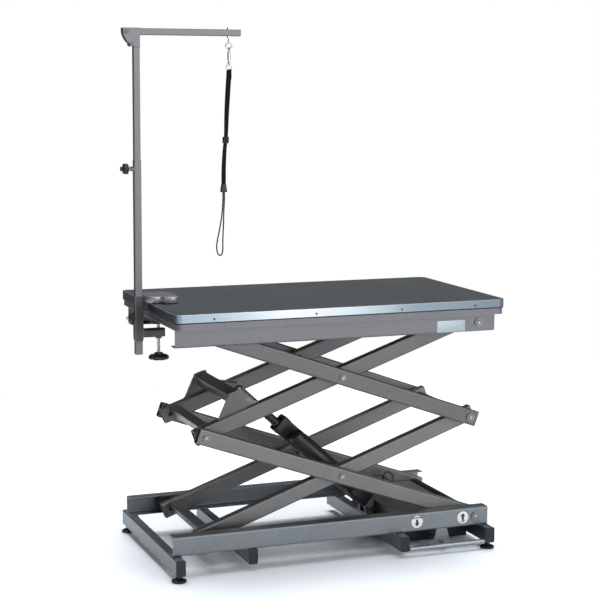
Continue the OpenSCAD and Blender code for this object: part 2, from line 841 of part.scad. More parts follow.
module clamp_frame() {
    bar_w = 26;
    bar_len = screw_x + 18 - neck_x;
    boss = 5;
    neck_w = sleeve_s - 4;
    steel() place() difference() {
        union() {
            translate([post_x, 0, sleeve_z0]) sleeve_tube();
            translate([neck_x - eps, -neck_w / 2, trim_z])
                cube([neck_t + eps, neck_w, jaw_top - trim_z]);
            translate([neck_x - eps, 0, bar_z0 + bar_h / 2]) box_tube(bar_len, bar_w, bar_h, tube_wall);
            translate([screw_x, 0, bar_z0 - boss]) cylinder(r = screw_r + 5, h = bar_h + boss);
            translate([post_x - sleeve_s / 2 - 3, 0, lock_z]) rotate([0, 90, 0])
                cylinder(r = 8, h = 4);
        }
        translate([screw_x, 0, bar_z0 - boss - eps])
            cylinder(r = screw_r + fit, h = bar_h + boss + 2 * eps);
        translate([post_x, 0, lock_z]) rotate([0, -90, 0]) cylinder(r = lock_r + fit, h = 40);
    }
}

// The sleeve narrows to the post at its lower end
module sleeve_tube() {
    taper = 11;
    low_s = sleeve_s - 2.4;
    difference() {
        union() {
            linear_extrude(taper + eps, scale = sleeve_s / low_s) round_rect(low_s, low_s, 2);
            translate([0, 0, taper]) linear_extrude(jaw_top - sleeve_z0 - taper)
                round_rect(sleeve_s, sleeve_s, 2);
        }
        translate([0, 0, -eps]) linear_extrude(jaw_top - sleeve_z0 + 2 * eps)
            square([sleeve_in, sleeve_in], center = true);
    }
}

// The jaw lies over the mat, with a small round corner in front and a large one behind
module clamp_jaw() {
    left = neck_x + neck_t;
    right = edge_x + 87;
    inset = 4;
    steel() place() {
        translate([0, 0, jaw_top - jaw_t]) linear_extrude(jaw_t) jaw_outline(left, right, jaw_w, 0);
        translate([0, 0, deck_top]) linear_extrude(pad_t + eps)
            jaw_outline(edge_x + inset, right - inset, jaw_w - 2 * inset, inset);
    }
}

module jaw_outline(left, right, w, less) {
    front_r = 18 - less;
    rear_r = 42 - less;
    hull() {
        translate([left, -w / 2]) square([1, w]);
        translate([right - front_r, -w / 2 + front_r]) circle(r = front_r);
        translate([right - rear_r, w / 2 - rear_r]) circle(r = rear_r);
    }
}

// A foot block is pressed up against the board by the clamp screw
foot_t = 19;
foot_s = 44;
tip = 6;
module clamp_foot() {
    black() place() translate([screw_x, 0, band_z - foot_t - seat]) difference() {
        translate([0, 0, foot_t / 2]) cube([foot_s, foot_s, foot_t], center = true);
        translate([0, 0, -eps]) cylinder(r = screw_r + fit, h = foot_t - tip);
    }
}

// A knob with lobes, with its back at z = 0
module lobed_knob(r, h, lobes, bore) {
    difference() {
        union() {
            cylinder(r = r * 0.82, h = h * 0.75);
            cylinder(r = r * 0.45, h = h);
            for (i = [0:lobes - 1])
                rotate([0, 0, 360 / lobes * i]) translate([r * 0.78, 0, h * 0.08])
                    cylinder(r = r * 0.22, h = h * 0.62, $fn = 24);
        }
        translate([0, 0, -eps]) cylinder(r = bore, h = h + 2 * eps);
    }
}

module clamp_screw() {
    top = band_z - seat - tip - seat;
    bottom = bar_z0 - 73;
    black() place() translate([screw_x, 0, bottom]) {
        cylinder(r = screw_r, h = top - bottom);
        lobed_knob(32.5, 22, 7, screw_r - eps);
    }
}

module sleeve_knob() {
    stem = 14;
    start = post_s / 2 + fit;
    black() place() translate([post_x - start, 0, lock_z]) rotate([0, -90, 0]) {
        cylinder(r = lock_r, h = stem + 14);
        translate([0, 0, stem - 8]) lobed_knob(16, 16, 6, lock_r - eps);
    }
}

// Two square tubes slide in each other and in the sleeve
module lower_post() {
    inner = post_s - 2 * post_wall;
    boss = 7;
    steel() place() translate([post_x, 0, 0]) difference() {
        union() {
            translate([0, 0, post_bottom]) linear_extrude(post_top - post_bottom) difference() {
                round_rect(post_s, post_s, 1.5);
                square([inner, inner], center = true);
            }
            translate([-inner / 2, 0, post_knob_z]) rotate([0, -90, 0]) cylinder(r = 8, h = post_wall + boss);
        }
        translate([0, 0, post_knob_z]) rotate([0, -90, 0]) cylinder(r = lock_r + fit, h = 40);
    }
}

module post_knob() {
    start = upper_s / 2 + fit;
    stem = knob_reach - start - 24;
    black() place() translate([post_x - start, 0, post_knob_z]) rotate([0, -90, 0]) {
        cylinder(r = lock_r, h = stem + 10);
        translate([0, 0, stem]) lobed_knob(17.5, 24, 6, lock_r - eps);
    }
}

// The upper post ends in two quadrant cheeks that hold the arm
cheek_t = 3;
module upper_post() {
    low_end = 1000;
    top = arm_z - arm_s / 2 - seat;
    cheek_y = arm_s / 2 + seat;
    steel() place() difference() {
        union() {
            translate([post_x, 0, low_end]) linear_extrude(top - low_end) difference() {
                square([upper_s, upper_s], center = true);
                square([upper_s - 3, upper_s - 3], center = true);
            }
            both_sides() translate([0, -cheek_y, 0]) rotate([90, 0, 0]) linear_extrude(cheek_t)
                cheek_outline();
            both_sides() translate([post_x - 4, -cheek_y - eps, top - 30])
                cube([8, cheek_y - upper_s / 2 + 2 * eps, 29]);
        }
        for (p = cheek_pins)
            translate([p[0], 0, p[1]]) y_rod(pin_s + fit, -cheek_y - cheek_t - 1, cheek_y + cheek_t + 1);
    }
}

pin_s = 4;
cheek_back = 43.5;
cheek_low = 48;
cheek_pins = [[fold_x, arm_z], [post_x - 16.5, arm_z - 39]];
module cheek_outline() {
    left = post_x - cheek_back;
    r = cheek_back + upper_s / 2;
    intersection() {
        translate([left + r, arm_z - cheek_low + r]) circle(r = r, $fn = 96);
        translate([left, arm_z - cheek_low]) square([r, cheek_low + arm_s / 2 + 1]);
    }
}

// The pin that the arm folds up on, and the bolt that holds the two cheeks apart
module arm_pins() {
    out = arm_s / 2 + seat + cheek_t;
    color([0.66, 0.67, 0.68]) place()
        for (p = cheek_pins)
            translate([p[0], 0, p[1]]) {
                y_rod(pin_s, -out - 3, out + 3);
                both_sides() y_rod(pin_s + 2.5, -out - 3, -out - fit);
            }
}

module arm_tube() {
    left = fold_x - 11;
    steel() place() difference() {
        translate([left, 0, arm_z]) box_tube(arm_end - left, arm_s, arm_s, 1.5);
        translate([fold_x, 0, arm_z]) y_rod(pin_s + fit, -arm_s, arm_s);
        translate([eye_x, 0, arm_z - arm_s]) cylinder(r = eye_wire + 1 + fit, h = 2 * arm_s);
    }
}

// The eyebolt goes through the arm and is held by a head and a nut
module eyebolt() {
    shank = eye_wire + 1;
    color([0.75, 0.76, 0.77]) place() translate([eye_x, 0, 0]) {
        translate([0, 0, eye_z + eye_r]) cylinder(r = shank, h = arm_z + arm_s / 2 + 6 - eye_z - eye_r);
        translate([0, 0, arm_z + arm_s / 2 + fit]) cylinder(r = 6.5, h = 6, $fn = 6);
        translate([0, 0, arm_z - arm_s / 2 - 5 - fit]) cylinder(r = 6.5, h = 5, $fn = 6);
        translate([0, 0, eye_z]) rotate([90, 0, 0]) rotate_extrude()
            translate([eye_r, 0]) circle(r = eye_wire, $fn = 24);
    }
}

// A bolt snap: a hooked end, a barrel, and a swivel ring for the webbing
bow_r = 7;
bow_wire = 2;
bow_z = hook_z + eye_wire + seat - bow_r + bow_wire;
barrel_z = bow_z - bow_r - 25;
ring_r = 9;
ring_z = barrel_z - 23.5;
module snap_hook() {
    color([0.75, 0.76, 0.77]) place() translate([eye_x, 0, 0]) {
        translate([0, 0, bow_z]) rotate([0, 0, 90]) rotate([90, 0, 0]) difference() {
            rotate_extrude() translate([bow_r, 0]) circle(r = bow_wire, $fn = 24);
            translate([2.5, -2 * bow_r, -4]) cube([8, 2 * bow_r, 8]);
        }
        translate([0, 0, barrel_z]) difference() {
            cylinder(r = 5, h = bow_z - bow_r - barrel_z + 1.5);
            translate([0, gate_y, -1]) cylinder(r = gate_r + fit, h = bow_z - barrel_z);
        }
        translate([0, 0, barrel_z - 9]) cylinder(r = 3, h = 9 + eps);
        translate([0, 0, barrel_z - 9]) sphere(r = 5, $fn = 24);
        translate([0, 0, ring_z]) rotate([90, 0, 0]) rotate_extrude()
            translate([ring_r, 0]) circle(r = 2, $fn = 24);
    }
}

// The snap's sliding bolt, with its thumb stud
gate_r = 1.6;
gate_y = 4.3;

module snap_gate() {
    color([0.7, 0.71, 0.72]) place() translate([eye_x, gate_y, barrel_z + 5]) {
        cylinder(r = gate_r, h = bow_z - barrel_z - 5 - 1.5);
        translate([0, 2.8, 3]) rotate([-90, 0, 0]) cylinder(r = 1.1, h = 3, $fn = 24);
        translate([-1.1, 0, 1.9]) cube([2.2, 3, 2.2]);
    }
}

// Noose routes, from the snap's ring downwards; the webbing turns on its way
strap_top = ring_z - ring_r - 2 - seat;
STRAP = [
    [0, 0, 0], [-1, 0, -20], [-3, 0, -48], [-5, 0, -80], [-7, 0, -115], [-8.5, 0, -150],
    [-9.5, 0, -185], [-11, 0, -212], [-14, 0, -236], [-16, 0, -265], [-17.5, 0, -295],
    [-18, 0, -325], [-18, 0, -350]];
TURN = [-20, -16, -8, 8, 24, 38, 50, 60, 72, 90, 108, 122, 132];
LOOP = [
    [-2.3, 0, 0], [-2.4, 0, -22], [-3.6, 0, -46], [-5.6, 0, -68], [-9, 0, -92], [-14, 0, -118],
    [-19, 0, -142], [-22, 0, -158], [-23.4, 0, -171], [-23, 0, -182], [-20.4, 0, -192],
    [-16.4, 0, -198], [-12, 0, -200], [-7.8, 0, -198], [-4.8, 0, -192], [-3.4, 0, -182],
    [-3.1, 0, -168], [-2.9, 0, -148], [-1.6, 0, -118], [-0.4, 0, -92], [0, 0, -68], [1.2, 0, -46],
    [2.2, 0, -22], [2.3, 0, 0]];
block_h = 25;
strap_end = STRAP[len(STRAP) - 1];
loop_top = strap_top + strap_end[2] - seat - block_h;
loop_x = eye_x + strap_end[0];

module noose_strap() {
    black() place() swept([for (p = STRAP) [eye_x + p[0], p[1], strap_top + p[2]]],
        [for (a = TURN) [cos(a), sin(a), 0]], web_w, web_t, 8);
}

module noose_loop() {
    route = curve([for (p = LOOP) [loop_x + p[0], p[1], loop_top + p[2]]], 2);
    black() place() swept(route, [for (p = route) [0, 1, 0]], loop_d, loop_d, 8);
}

// A keeper half way down the webbing, and the tapered block over the loop
module noose_sliders() {
    slot_w = web_w + 2;
    slot_t = web_t + 3.6;
    rim = 1.8;
    keeper_h = 20;
    at = STRAP[7];
    low_w = 21;
    top_w = 14;
    block_t = 12;
    black() place() {
        translate([eye_x + at[0], 0, strap_top + at[2] - keeper_h / 2]) rotate([0, 0, TURN[7]])
            linear_extrude(keeper_h) difference() {
                round_rect(slot_w + 2 * rim, slot_t + 2 * rim, 2);
                square([slot_w, slot_t], center = true);
            }
        translate([loop_x, block_t / 2, loop_top]) rotate([90, 0, 0]) linear_extrude(block_t)
            polygon([[-low_w / 2, 0], [low_w / 2, 0], [top_w / 2, block_h], [-top_w / 2, block_h]]);
    }
}

base_rail_front();
base_rail_rear();
cross_tube_left();
cross_tube_mid_left();
cross_tube_mid_right();
cross_tube_right();
tube_end_caps();
clevis_pin();
control_box();
actuator_clevis();
motor_cable();
foot_front_left();
foot_front_right();
foot_rear_left();
foot_rear_right();
foot_pedal();
lower_outer_arm_front();
lower_outer_arm_rear();
lower_outer_pins();
lower_inner_arm_front();
lower_inner_arm_rear();
lower_inner_tie();
lower_inner_pins();
base_roller_front();
base_roller_rear();
upper_outer_arm_front();
upper_outer_arm_rear();
upper_outer_pins();
top_roller_front();
top_roller_rear();
upper_inner_arm_front();
upper_inner_arm_rear();
upper_inner_tie();
actuator_yoke();
upper_inner_pins();
top_channel_front();
top_channel_rear();
deck_band();
deck_board();
deck_mat();
edge_trim();
actuator_housing();
actuator_motor();
actuator_rod();
clamp_frame();
clamp_jaw();
clamp_screw();
clamp_foot();
sleeve_knob();
lower_post();
post_knob();
upper_post();
arm_tube();
arm_pins();
eyebolt();
snap_hook();
snap_gate();
noose_strap();
noose_sliders();
noose_loop();
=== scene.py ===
import math

import bmesh
import bpy
from mathutils import Matrix, Vector


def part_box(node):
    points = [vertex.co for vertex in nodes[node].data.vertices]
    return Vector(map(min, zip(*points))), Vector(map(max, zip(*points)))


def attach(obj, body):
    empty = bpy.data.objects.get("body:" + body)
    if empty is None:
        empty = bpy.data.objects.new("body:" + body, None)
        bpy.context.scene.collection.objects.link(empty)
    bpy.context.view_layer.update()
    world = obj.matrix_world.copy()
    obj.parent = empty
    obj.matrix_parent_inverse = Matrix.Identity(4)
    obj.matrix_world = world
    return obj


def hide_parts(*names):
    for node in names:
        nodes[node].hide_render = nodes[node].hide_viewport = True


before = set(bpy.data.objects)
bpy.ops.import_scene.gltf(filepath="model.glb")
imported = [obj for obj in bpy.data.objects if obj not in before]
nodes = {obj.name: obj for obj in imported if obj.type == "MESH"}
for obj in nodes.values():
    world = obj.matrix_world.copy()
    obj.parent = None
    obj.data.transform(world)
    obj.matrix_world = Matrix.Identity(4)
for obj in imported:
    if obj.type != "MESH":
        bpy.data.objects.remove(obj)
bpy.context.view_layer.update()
scene = bpy.context.scene


# Studio camera, 5 m from the table with a long lens. It stands where the photograph was
# taken from, turned 21 degrees to the right and tilted 8 degrees down.
mm = 0.001
trim_low, trim_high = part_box("edge_trim")
deck_x = (trim_low.x + trim_high.x) / 2


def at(x, y, z):
    """A point from millimetres, measured off the tabletop's middle and the floor."""
    return Vector((deck_x + x * mm, y * mm, z * mm))


def camera_axes(yaw, pitch, roll):
    ahead = Vector((math.sin(yaw) * math.cos(pitch), math.cos(yaw) * math.cos(pitch), -math.sin(pitch)))
    level = Vector((math.cos(yaw), -math.sin(yaw), 0))
    side = math.cos(roll) * level + math.sin(roll) * level.cross(ahead)
    return side, side.cross(ahead), -ahead


camera_data = bpy.data.cameras.new("studio_camera")
camera_data.sensor_width = 36
camera_data.lens = 96.05
camera_data.clip_end = 60
camera = bpy.data.objects.new("studio_camera", camera_data)
axes = camera_axes(math.radians(21.229), math.radians(7.909), math.radians(0.283))
camera.matrix_world = Matrix.Translation(at(-1894.9, -4784.4, 1514.3)) @ Matrix(axes).transposed().to_4x4()
scene.collection.objects.link(camera)
scene.camera = camera
scene.view_settings.view_transform = "Standard"


# Motor lead: a 5 mm round lead in black rubber. It comes out of a gland on the control box,
# makes a loop to spare for the lift, and goes into the clevis beside the actuator.
LEAD = [
    (334, 150, 117), (334, 150, 128), (334, 150, 140), (336, 151, 151), (342, 152, 159),
    (351, 152, 162), (361, 151, 158), (369, 150, 150), (372, 149, 140), (368, 147, 131),
    (359, 145, 129), (350, 143, 135), (341, 142, 144), (332, 141, 151), (322, 140, 155),
    (312, 139, 156), (302, 138, 155), (290, 136, 155), (278, 132, 156), (266, 126, 155),
    (256, 117, 149), (246, 105, 139), (236, 90, 128), (226, 74, 117), (216, 59, 107),
    (206, 46, 98), (198, 37, 93), (195, 26.6, 92)]
lead_d = 5


def linear(hex_colour):
    """An sRGB hex value as a linear colour with alpha 1."""
    parts = [int(hex_colour[i:i + 2], 16) / 255 for i in (1, 3, 5)]
    return [c / 12.92 if c <= 0.04045 else ((c + 0.055) / 1.055) ** 2.4 for c in parts] + [1.0]


def add(tree, kind, settings=None, **inputs):
    """Adds one node, sets its properties, and sets or links its inputs by name, or by _number.

    A node that is given for an input is linked by its first output, and a hex value is a colour.
    """
    made = tree.nodes.new(kind)
    for name, value in (settings or {}).items():
        setattr(made, name, value)
    for name, value in inputs.items():
        socket = made.inputs[int(name[1:])] if name[0] == "_" else made.inputs[name.replace("_", " ")]
        if isinstance(value, bpy.types.Node):
            value = value.outputs[0]
        if isinstance(value, bpy.types.NodeSocket):
            tree.links.new(value, socket)
        elif isinstance(value, str) and value.startswith("#"):
            socket.default_value = linear(value)
        else:
            socket.default_value = value
    return made


def new_material(name):
    made = bpy.data.materials.new(name)
    made.use_nodes = True
    made.node_tree.nodes.clear()
    return made, made.node_tree


def new_finish(name):
    """A new material, its tree, and the piece's own coordinates in it."""
    made, tree = new_material(name)
    return made, tree, add(tree, "ShaderNodeTexCoord").outputs["Object"]


def finish_material(made, tree, shader):
    add(tree, "ShaderNodeOutputMaterial", Surface=shader)
    return made


def blotched(tree, place, size, dark_hex, light_hex, detail=4.0):
    """Two tones mixed by a cloud of about size millimetres; gives the colour and the cloud."""
    cloud = add(tree, "ShaderNodeTexNoise", Vector=place, Scale=1000 / size, Detail=detail, Roughness=0.6)
    colour = add(tree, "ShaderNodeMix", {"data_type": "RGBA"}, Factor=cloud, _6=dark_hex, _7=light_hex)
    return colour.outputs["Result"], cloud


def moulded(name, dark_hex, light_hex, rough, grain, bump=0.25):
    """Moulded plastic, rubber or powder coat, dull and evenly dark, with a grain of about that many
    millimetres. The real grain is finer, and wouldn't show."""
    made, tree, place = new_finish(name)
    colour, cloud = blotched(tree, place, 30, dark_hex, light_hex)
    spark = add(tree, "ShaderNodeTexNoise", Vector=place, Scale=1000 / grain, Detail=4.0, Roughness=0.7)
    gloss = add(tree, "ShaderNodeMapRange", Value=cloud, To_Min=rough - 0.07, To_Max=rough + 0.09)
    relief = add(tree, "ShaderNodeBump", Strength=bump, Distance=0.3 * mm, Height=spark)
    return finish_material(made, tree, add(
        tree, "ShaderNodeBsdfPrincipled", Base_Color=colour, Roughness=gloss, Normal=relief))


def between(a, b, c, d, t):
    """The smooth curve from b to c that part.scad also draws its routes with."""
    return ((2 * b) + (c - a) * t + (2 * a - 5 * b + 4 * c - d) * t ** 2
            + (3 * b - a - 3 * c + d) * t ** 3) / 2


def curve(points, steps):
    last = len(points) - 1
    return [between(points[max(i - 1, 0)], points[i], points[i + 1], points[min(i + 2, last)], k / steps)
            for i in range(last) for k in range(steps)] + [points[-1]]


def ring_faces(rings, sides, caps=True):
    """Quads between neighbouring rings of points, and a cap on each end."""
    faces = []
    for low in range(0, (rings - 1) * sides, sides):
        high = low + sides
        faces += [(low + k, low + (k + 1) % sides, high + (k + 1) % sides, high + k) for k in range(sides)]
    if caps:
        faces += [tuple(range(sides))[::-1], tuple((rings - 1) * sides + k for k in range(sides))]
    return faces


def linked(name, data):
    """An object that holds the data, in the scene."""
    made = bpy.data.objects.new(name, data)
    scene.collection.objects.link(made)
    return made


def smoothed(name, shape, material, crisp=40):
    """The bmesh as an object, smooth but for edges sharper than crisp degrees."""
    for face in shape.faces:
        face.smooth = True
    mesh = bpy.data.meshes.new(name)
    shape.to_mesh(mesh)
    shape.free()
    mesh.set_sharp_from_angle(angle=math.radians(crisp))
    mesh.materials.append(material)
    return linked(name, mesh)


def new_piece(name, points, faces, material, crisp=40):
    """A closed mesh from points and faces, with its doubles merged and its faces outwards."""
    mesh = bpy.data.meshes.new("raw")
    mesh.from_pydata([tuple(p) for p in points], [], faces)
    shape = bmesh.new()
    shape.from_mesh(mesh)
    bpy.data.meshes.remove(mesh)
    bmesh.ops.remove_doubles(shape, verts=shape.verts, dist=1e-6)
    bmesh.ops.recalc_face_normals(shape, faces=shape.faces)
    return smoothed(name, shape, material, crisp)


def swept(name, route, sides, width, thick, corners, square, material):
    """A band along the route. Its UV map is in millimetres, round the band and along it."""
    points, along, run = [], [], 0.0
    last = len(route) - 1
    for i, here in enumerate(route):
        run += (here - route[max(i - 1, 0)]).length
        ahead = (route[min(i + 1, last)] - route[max(i - 1, 0)]).normalized()
        wide = (sides[i] - ahead * sides[i].dot(ahead)).normalized()
        high = ahead.cross(wide)
        along.append(run / mm)
        for k in range(corners):
            turn = math.tau * k / corners
            a = math.copysign(abs(math.cos(turn)) ** square, math.cos(turn)) * width / 2 * mm
            b = math.copysign(abs(math.sin(turn)) ** square, math.sin(turn)) * thick / 2 * mm
            points.append(here + wide * a + high * b)
    made = new_piece(name, points, ring_faces(len(route), corners), material)
    layer = made.data.uv_layers.new(name="span")
    girth = 2 * (width + thick) if square < 1 else math.pi * width
    for face in made.data.polygons:
        spots = [divmod(v, corners) for v in face.vertices]
        seam = any(k == 0 for _, k in spots) and any(k == corners - 1 for _, k in spots)
        for loop, (i, k) in zip(face.loop_indices, spots):
            turn = corners if seam and k == 0 else k
            layer.data[loop].uv = (turn / corners * girth, along[min(i, last)])
    return made


def mount(piece, body, slot, *replaced):
    """Fixes a finished piece to its body and hides the nodes it stands for. The slot is not used."""
    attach(piece, body)
    if replaced:
        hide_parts(*replaced)
    return piece


def round_axis(origin, axis):
    """Gives the place of a point from its radius, angle and height about an axis, in millimetres."""
    turn = Vector(axis).to_track_quat("Z", "Y").to_matrix()
    return lambda r, a, z: origin + turn @ Vector((r * math.cos(a), r * math.sin(a), z)) * mm


def turned(name, profile, material, origin=Vector(), axis=(0, 0, 1), sides=32):
    """A turned piece from (radius, height) pairs in millimetres, standing at origin along axis."""
    place = round_axis(origin, axis)
    points = [place(r, math.tau * k / sides, z) for r, z in profile for k in range(sides)]
    return new_piece(name, points, ring_faces(len(profile), sides, profile[0] != profile[-1]), material)


lead_rubber = moulded("lead_rubber", "#121314", "#1e1f20", 0.5, 0.6)
lead_route = curve([at(*p) for p in LEAD], 5)
lead_sides = [Vector((0.3, 0.2, 1))] * len(lead_route)
motor_lead = mount(swept("motor_lead", lead_route, lead_sides, lead_d, lead_d, 14, 1, lead_rubber),
                   "base", "lead_rubber", "motor_cable")
sleeve_r = lead_d / 2 + 0.2
gland_profile = [(sleeve_r, 0), (7.5, 0), (8, 0.6), (8, 5), (7, 6.5), (5.4, 14), (4.2, 20), (3.6, 24),
                 (sleeve_r, 24.5), (sleeve_r, 0)]
gland_nut = mount(turned("gland_nut", gland_profile, lead_rubber, at(334, 150, 123.2)), "base",
                  "lead_rubber")
grommet_profile = [(sleeve_r, 0), (6, 0), (6, 1.2), (4.4, 2.4), (4, 7), (sleeve_r, 7.4), (sleeve_r, 0)]
grommet = mount(turned("lead_grommet", grommet_profile, lead_rubber, at(195, 26.4, 92), (0, 1, 0)),
                "base", "lead_rubber")


# Noose strap: 16 mm nylon webbing, black, woven in a twill. It is folded round the snap's ring,
# hangs down with a slight turn, and ends in the tapered block over the loop.
eye_x = -278
ring_z = 1542.8
strap_top = 1531.5
keeper_drop = 212
web_w = 16
web_t = 2.4
STRAP = [
    (0, 0, 0), (-1, 0, -20), (-3, 0, -48), (-5, 0, -80), (-7, 0, -115), (-8.5, 0, -150), (-9.5, 0, -185),
    (-11, 0, -keeper_drop), (-14, 0, -236), (-16, 0, -265), (-17.5, 0, -295), (-18, 0, -325), (-18, 0, -350)]
TURN = [-20, -18, -12, -4, 6, 15, 23, 28, 27, 22, 17, 14, 13]


def woven(name, operation, threads, strength, deep):
    """Black nylon thread, matt and ribbed, from the UV map's millimetres. Each set of threads is its
    turn in degrees, the way that its bands run, their scale, and how much they waver."""
    made, tree = new_material(name)
    span = add(tree, "ShaderNodeUVMap", {"uv_map": "span"})
    sets = []
    for slant, bands, scale, waver in threads:
        turn = add(tree, "ShaderNodeMapping", Vector=span, Rotation=(0, 0, math.radians(slant)))
        sets.append(add(tree, "ShaderNodeTexWave", {"bands_direction": bands}, Vector=turn, Scale=scale,
                        Distortion=waver).outputs["Fac"])
    weave = add(tree, "ShaderNodeMath", {"operation": operation}, _0=sets[0], _1=sets[1])
    colour = add(tree, "ShaderNodeMix", {"data_type": "RGBA"}, Factor=weave, _6="#020203", _7="#0e0e10")
    relief = add(tree, "ShaderNodeBump", Strength=strength, Distance=deep * mm, Height=weave)
    return finish_material(made, tree, add(
        tree, "ShaderNodeBsdfPrincipled", Base_Color=colour.outputs["Result"], Roughness=0.8,
        Specular_IOR_Level=0.25, Normal=relief))


nylon_webbing = woven("nylon_webbing", "MULTIPLY", [(32, "X", 0.42, 0.3), (0, "Y", 0.6, 0.4)], 0.7, 0.5)
strap_route = curve([at(eye_x + x, y, strap_top + z) for x, y, z in STRAP], 5)
strap_sides = [Vector((math.cos(math.radians(a)), math.sin(math.radians(a)), 0)) for a in curve(TURN, 5)]
noose_band = mount(swept("noose_band", strap_route, strap_sides, web_w, web_t, 24, 0.3, nylon_webbing),
                   "noose", "webbing", "noose_strap")


def folded_tab():
    """The webbing's end, folded over the snap's ring and back down on the strap."""
    reach = 3.4
    legs = 26
    arch = [(-reach, -legs), (-reach, -8), (-reach, 0), (-2.4, 3.4), (0, 4.8), (2.4, 3.4), (reach, 0),
            (reach, -8), (reach, -legs)]
    side = strap_sides[0]
    across = Vector((-side.y, side.x, 0))
    low = at(eye_x, 0, ring_z - 9)
    route = curve([low + across * a * mm + Vector((0, 0, b * mm)) for a, b in arch], 4)
    return swept("noose_tab", route, [side] * len(route), web_w, 1.6, 20, 0.3, nylon_webbing)


noose_tab = mount(folded_tab(), "noose", "webbing")
nylon = moulded("black_nylon", "#0b0c0d", "#151617", 0.42, 0.8)


def pressed(name, outline, thick, bevel, material, origin, across=(1, 0, 0), up=(0, 0, 1)):
    """A plate of the outline, in millimetres along across and up, with rounded edges."""
    across, up = Vector(across).normalized(), Vector(up).normalized()
    out = across.cross(up)
    shape = bmesh.new()
    low = [shape.verts.new(origin + (across * x + up * y) * mm) for x, y in outline]
    high = [shape.verts.new(v.co + out * thick * mm) for v in low]
    shape.faces.new(low[::-1])
    shape.faces.new(high)
    for i in range(len(low)):
        shape.faces.new((low[i - 1], low[i], high[i], high[i - 1]))
    bmesh.ops.recalc_face_normals(shape, faces=shape.faces)
    sharp = [e for e in shape.edges if e.calc_face_angle(0) > math.radians(40)]
    bmesh.ops.bevel(shape, geom=sharp, offset=bevel * mm, segments=3, profile=0.5, affect="EDGES")
    return smoothed(name, shape, material)


def rounded(w, h, r, steps=6):
    """The outline of a rectangle with round corners, about its own middle."""
    return [(sx * (w / 2 - r) + r * math.cos(math.radians(a0 + 90 * k / steps)),
             sy * (h / 2 - r) + r * math.sin(math.radians(a0 + 90 * k / steps)))
            for sx, sy, a0 in ((1, 1, 0), (-1, 1, 90), (-1, -1, 180), (1, -1, 270)) for k in range(steps + 1)]


def slider_ring():
    """The keeper: a flat box ring round the webbing, with its push button on one side."""
    turn = math.radians(TURN[7])
    side = Vector((math.cos(turn), math.sin(turn), 0))
    front = Vector((math.sin(turn), -math.cos(turn), 0))
    middle = at(eye_x - 11, 0, strap_top - keeper_drop)
    half_w, half_t, rim, high = web_w / 2 + 1, web_t / 2 + 1.8, 1.8, 20
    rings = []
    for grow, z in ((-rim, -high / 2), (-0.5, -high / 2), (0, 0.6 - high / 2), (0, high / 2 - 0.6),
                    (-0.5, high / 2), (-rim, high / 2)):
        outline = rounded(2 * (half_w + rim + grow), 2 * (half_t + rim + grow), max(1.8 + grow, 0.05))
        rings.append([middle + (side * x + front * y + Vector((0, 0, z))) * mm for x, y in outline])
    rings.append(rings[0])
    faces = ring_faces(len(rings), len(rings[0]), caps=False)
    return new_piece("noose_keeper", [p for ring in rings for p in ring], faces, nylon), middle, front


noose_keeper, keeper_middle, keeper_front = slider_ring()
mount(noose_keeper, "noose", "black_plastic", "noose_sliders")
button_profile = [(0, 0), (6.2, 0), (6.2, 2.5), (5.6, 3.6), (4.4, 4.4), (3.6, 3.8), (0, 3.6)]
button_seat = keeper_middle + keeper_front * (web_t / 2 + 3.55) * mm
keeper_button = mount(turned("keeper_button", button_profile, nylon, button_seat, keeper_front),
                      "noose", "black_plastic")
block_h = 25
block_low = strap_top - 350.3 - block_h
loop_x = eye_x - 18
block_side = [(-10.5, 0), (10.5, 0), (7, block_h), (-7, block_h)]
noose_block = mount(pressed("noose_block", block_side, 12, 1.6, nylon, at(loop_x, 6, block_low)), "noose",
                    "black_plastic")


# Noose loop: a 4 mm braided nylon cord. It leaves the block as two strands side by side,
# opens into a narrow loop and closes on itself inside the block.
loop_d = 4.2
LOOP = [
    (-2.3, 0, 0), (-2.4, 0, -22), (-3.6, 0, -46), (-5.6, 0, -68), (-9, 0, -92), (-14, 0, -118),
    (-19, 0, -142), (-22, 0, -158), (-23.4, 0, -171), (-23, 0, -182), (-20.4, 0, -192),
    (-16.4, 0, -198), (-12, 0, -200), (-7.8, 0, -198), (-4.8, 0, -192), (-3.4, 0, -182),
    (-3.1, 0, -168), (-2.9, 0, -148), (-1.6, 0, -118), (-0.4, 0, -92), (0, 0, -68), (1.2, 0, -46),
    (2.2, 0, -22), (2.3, 0, 0)]
braided_nylon = woven("braided_nylon", "MAXIMUM", [(35, "X", 0.5, 0), (-35, "X", 0.5, 0)], 0.6, 0.4)
loop_route = curve([at(loop_x + x, y, block_low + z) for x, y, z in LOOP], 5)
loop_sides = [Vector((0, 1, 0))] * len(loop_route)
noose_cord = mount(swept("noose_cord", loop_route, loop_sides, loop_d, loop_d, 14, 1, braided_nylon),
                   "noose", "webbing", "noose_loop")


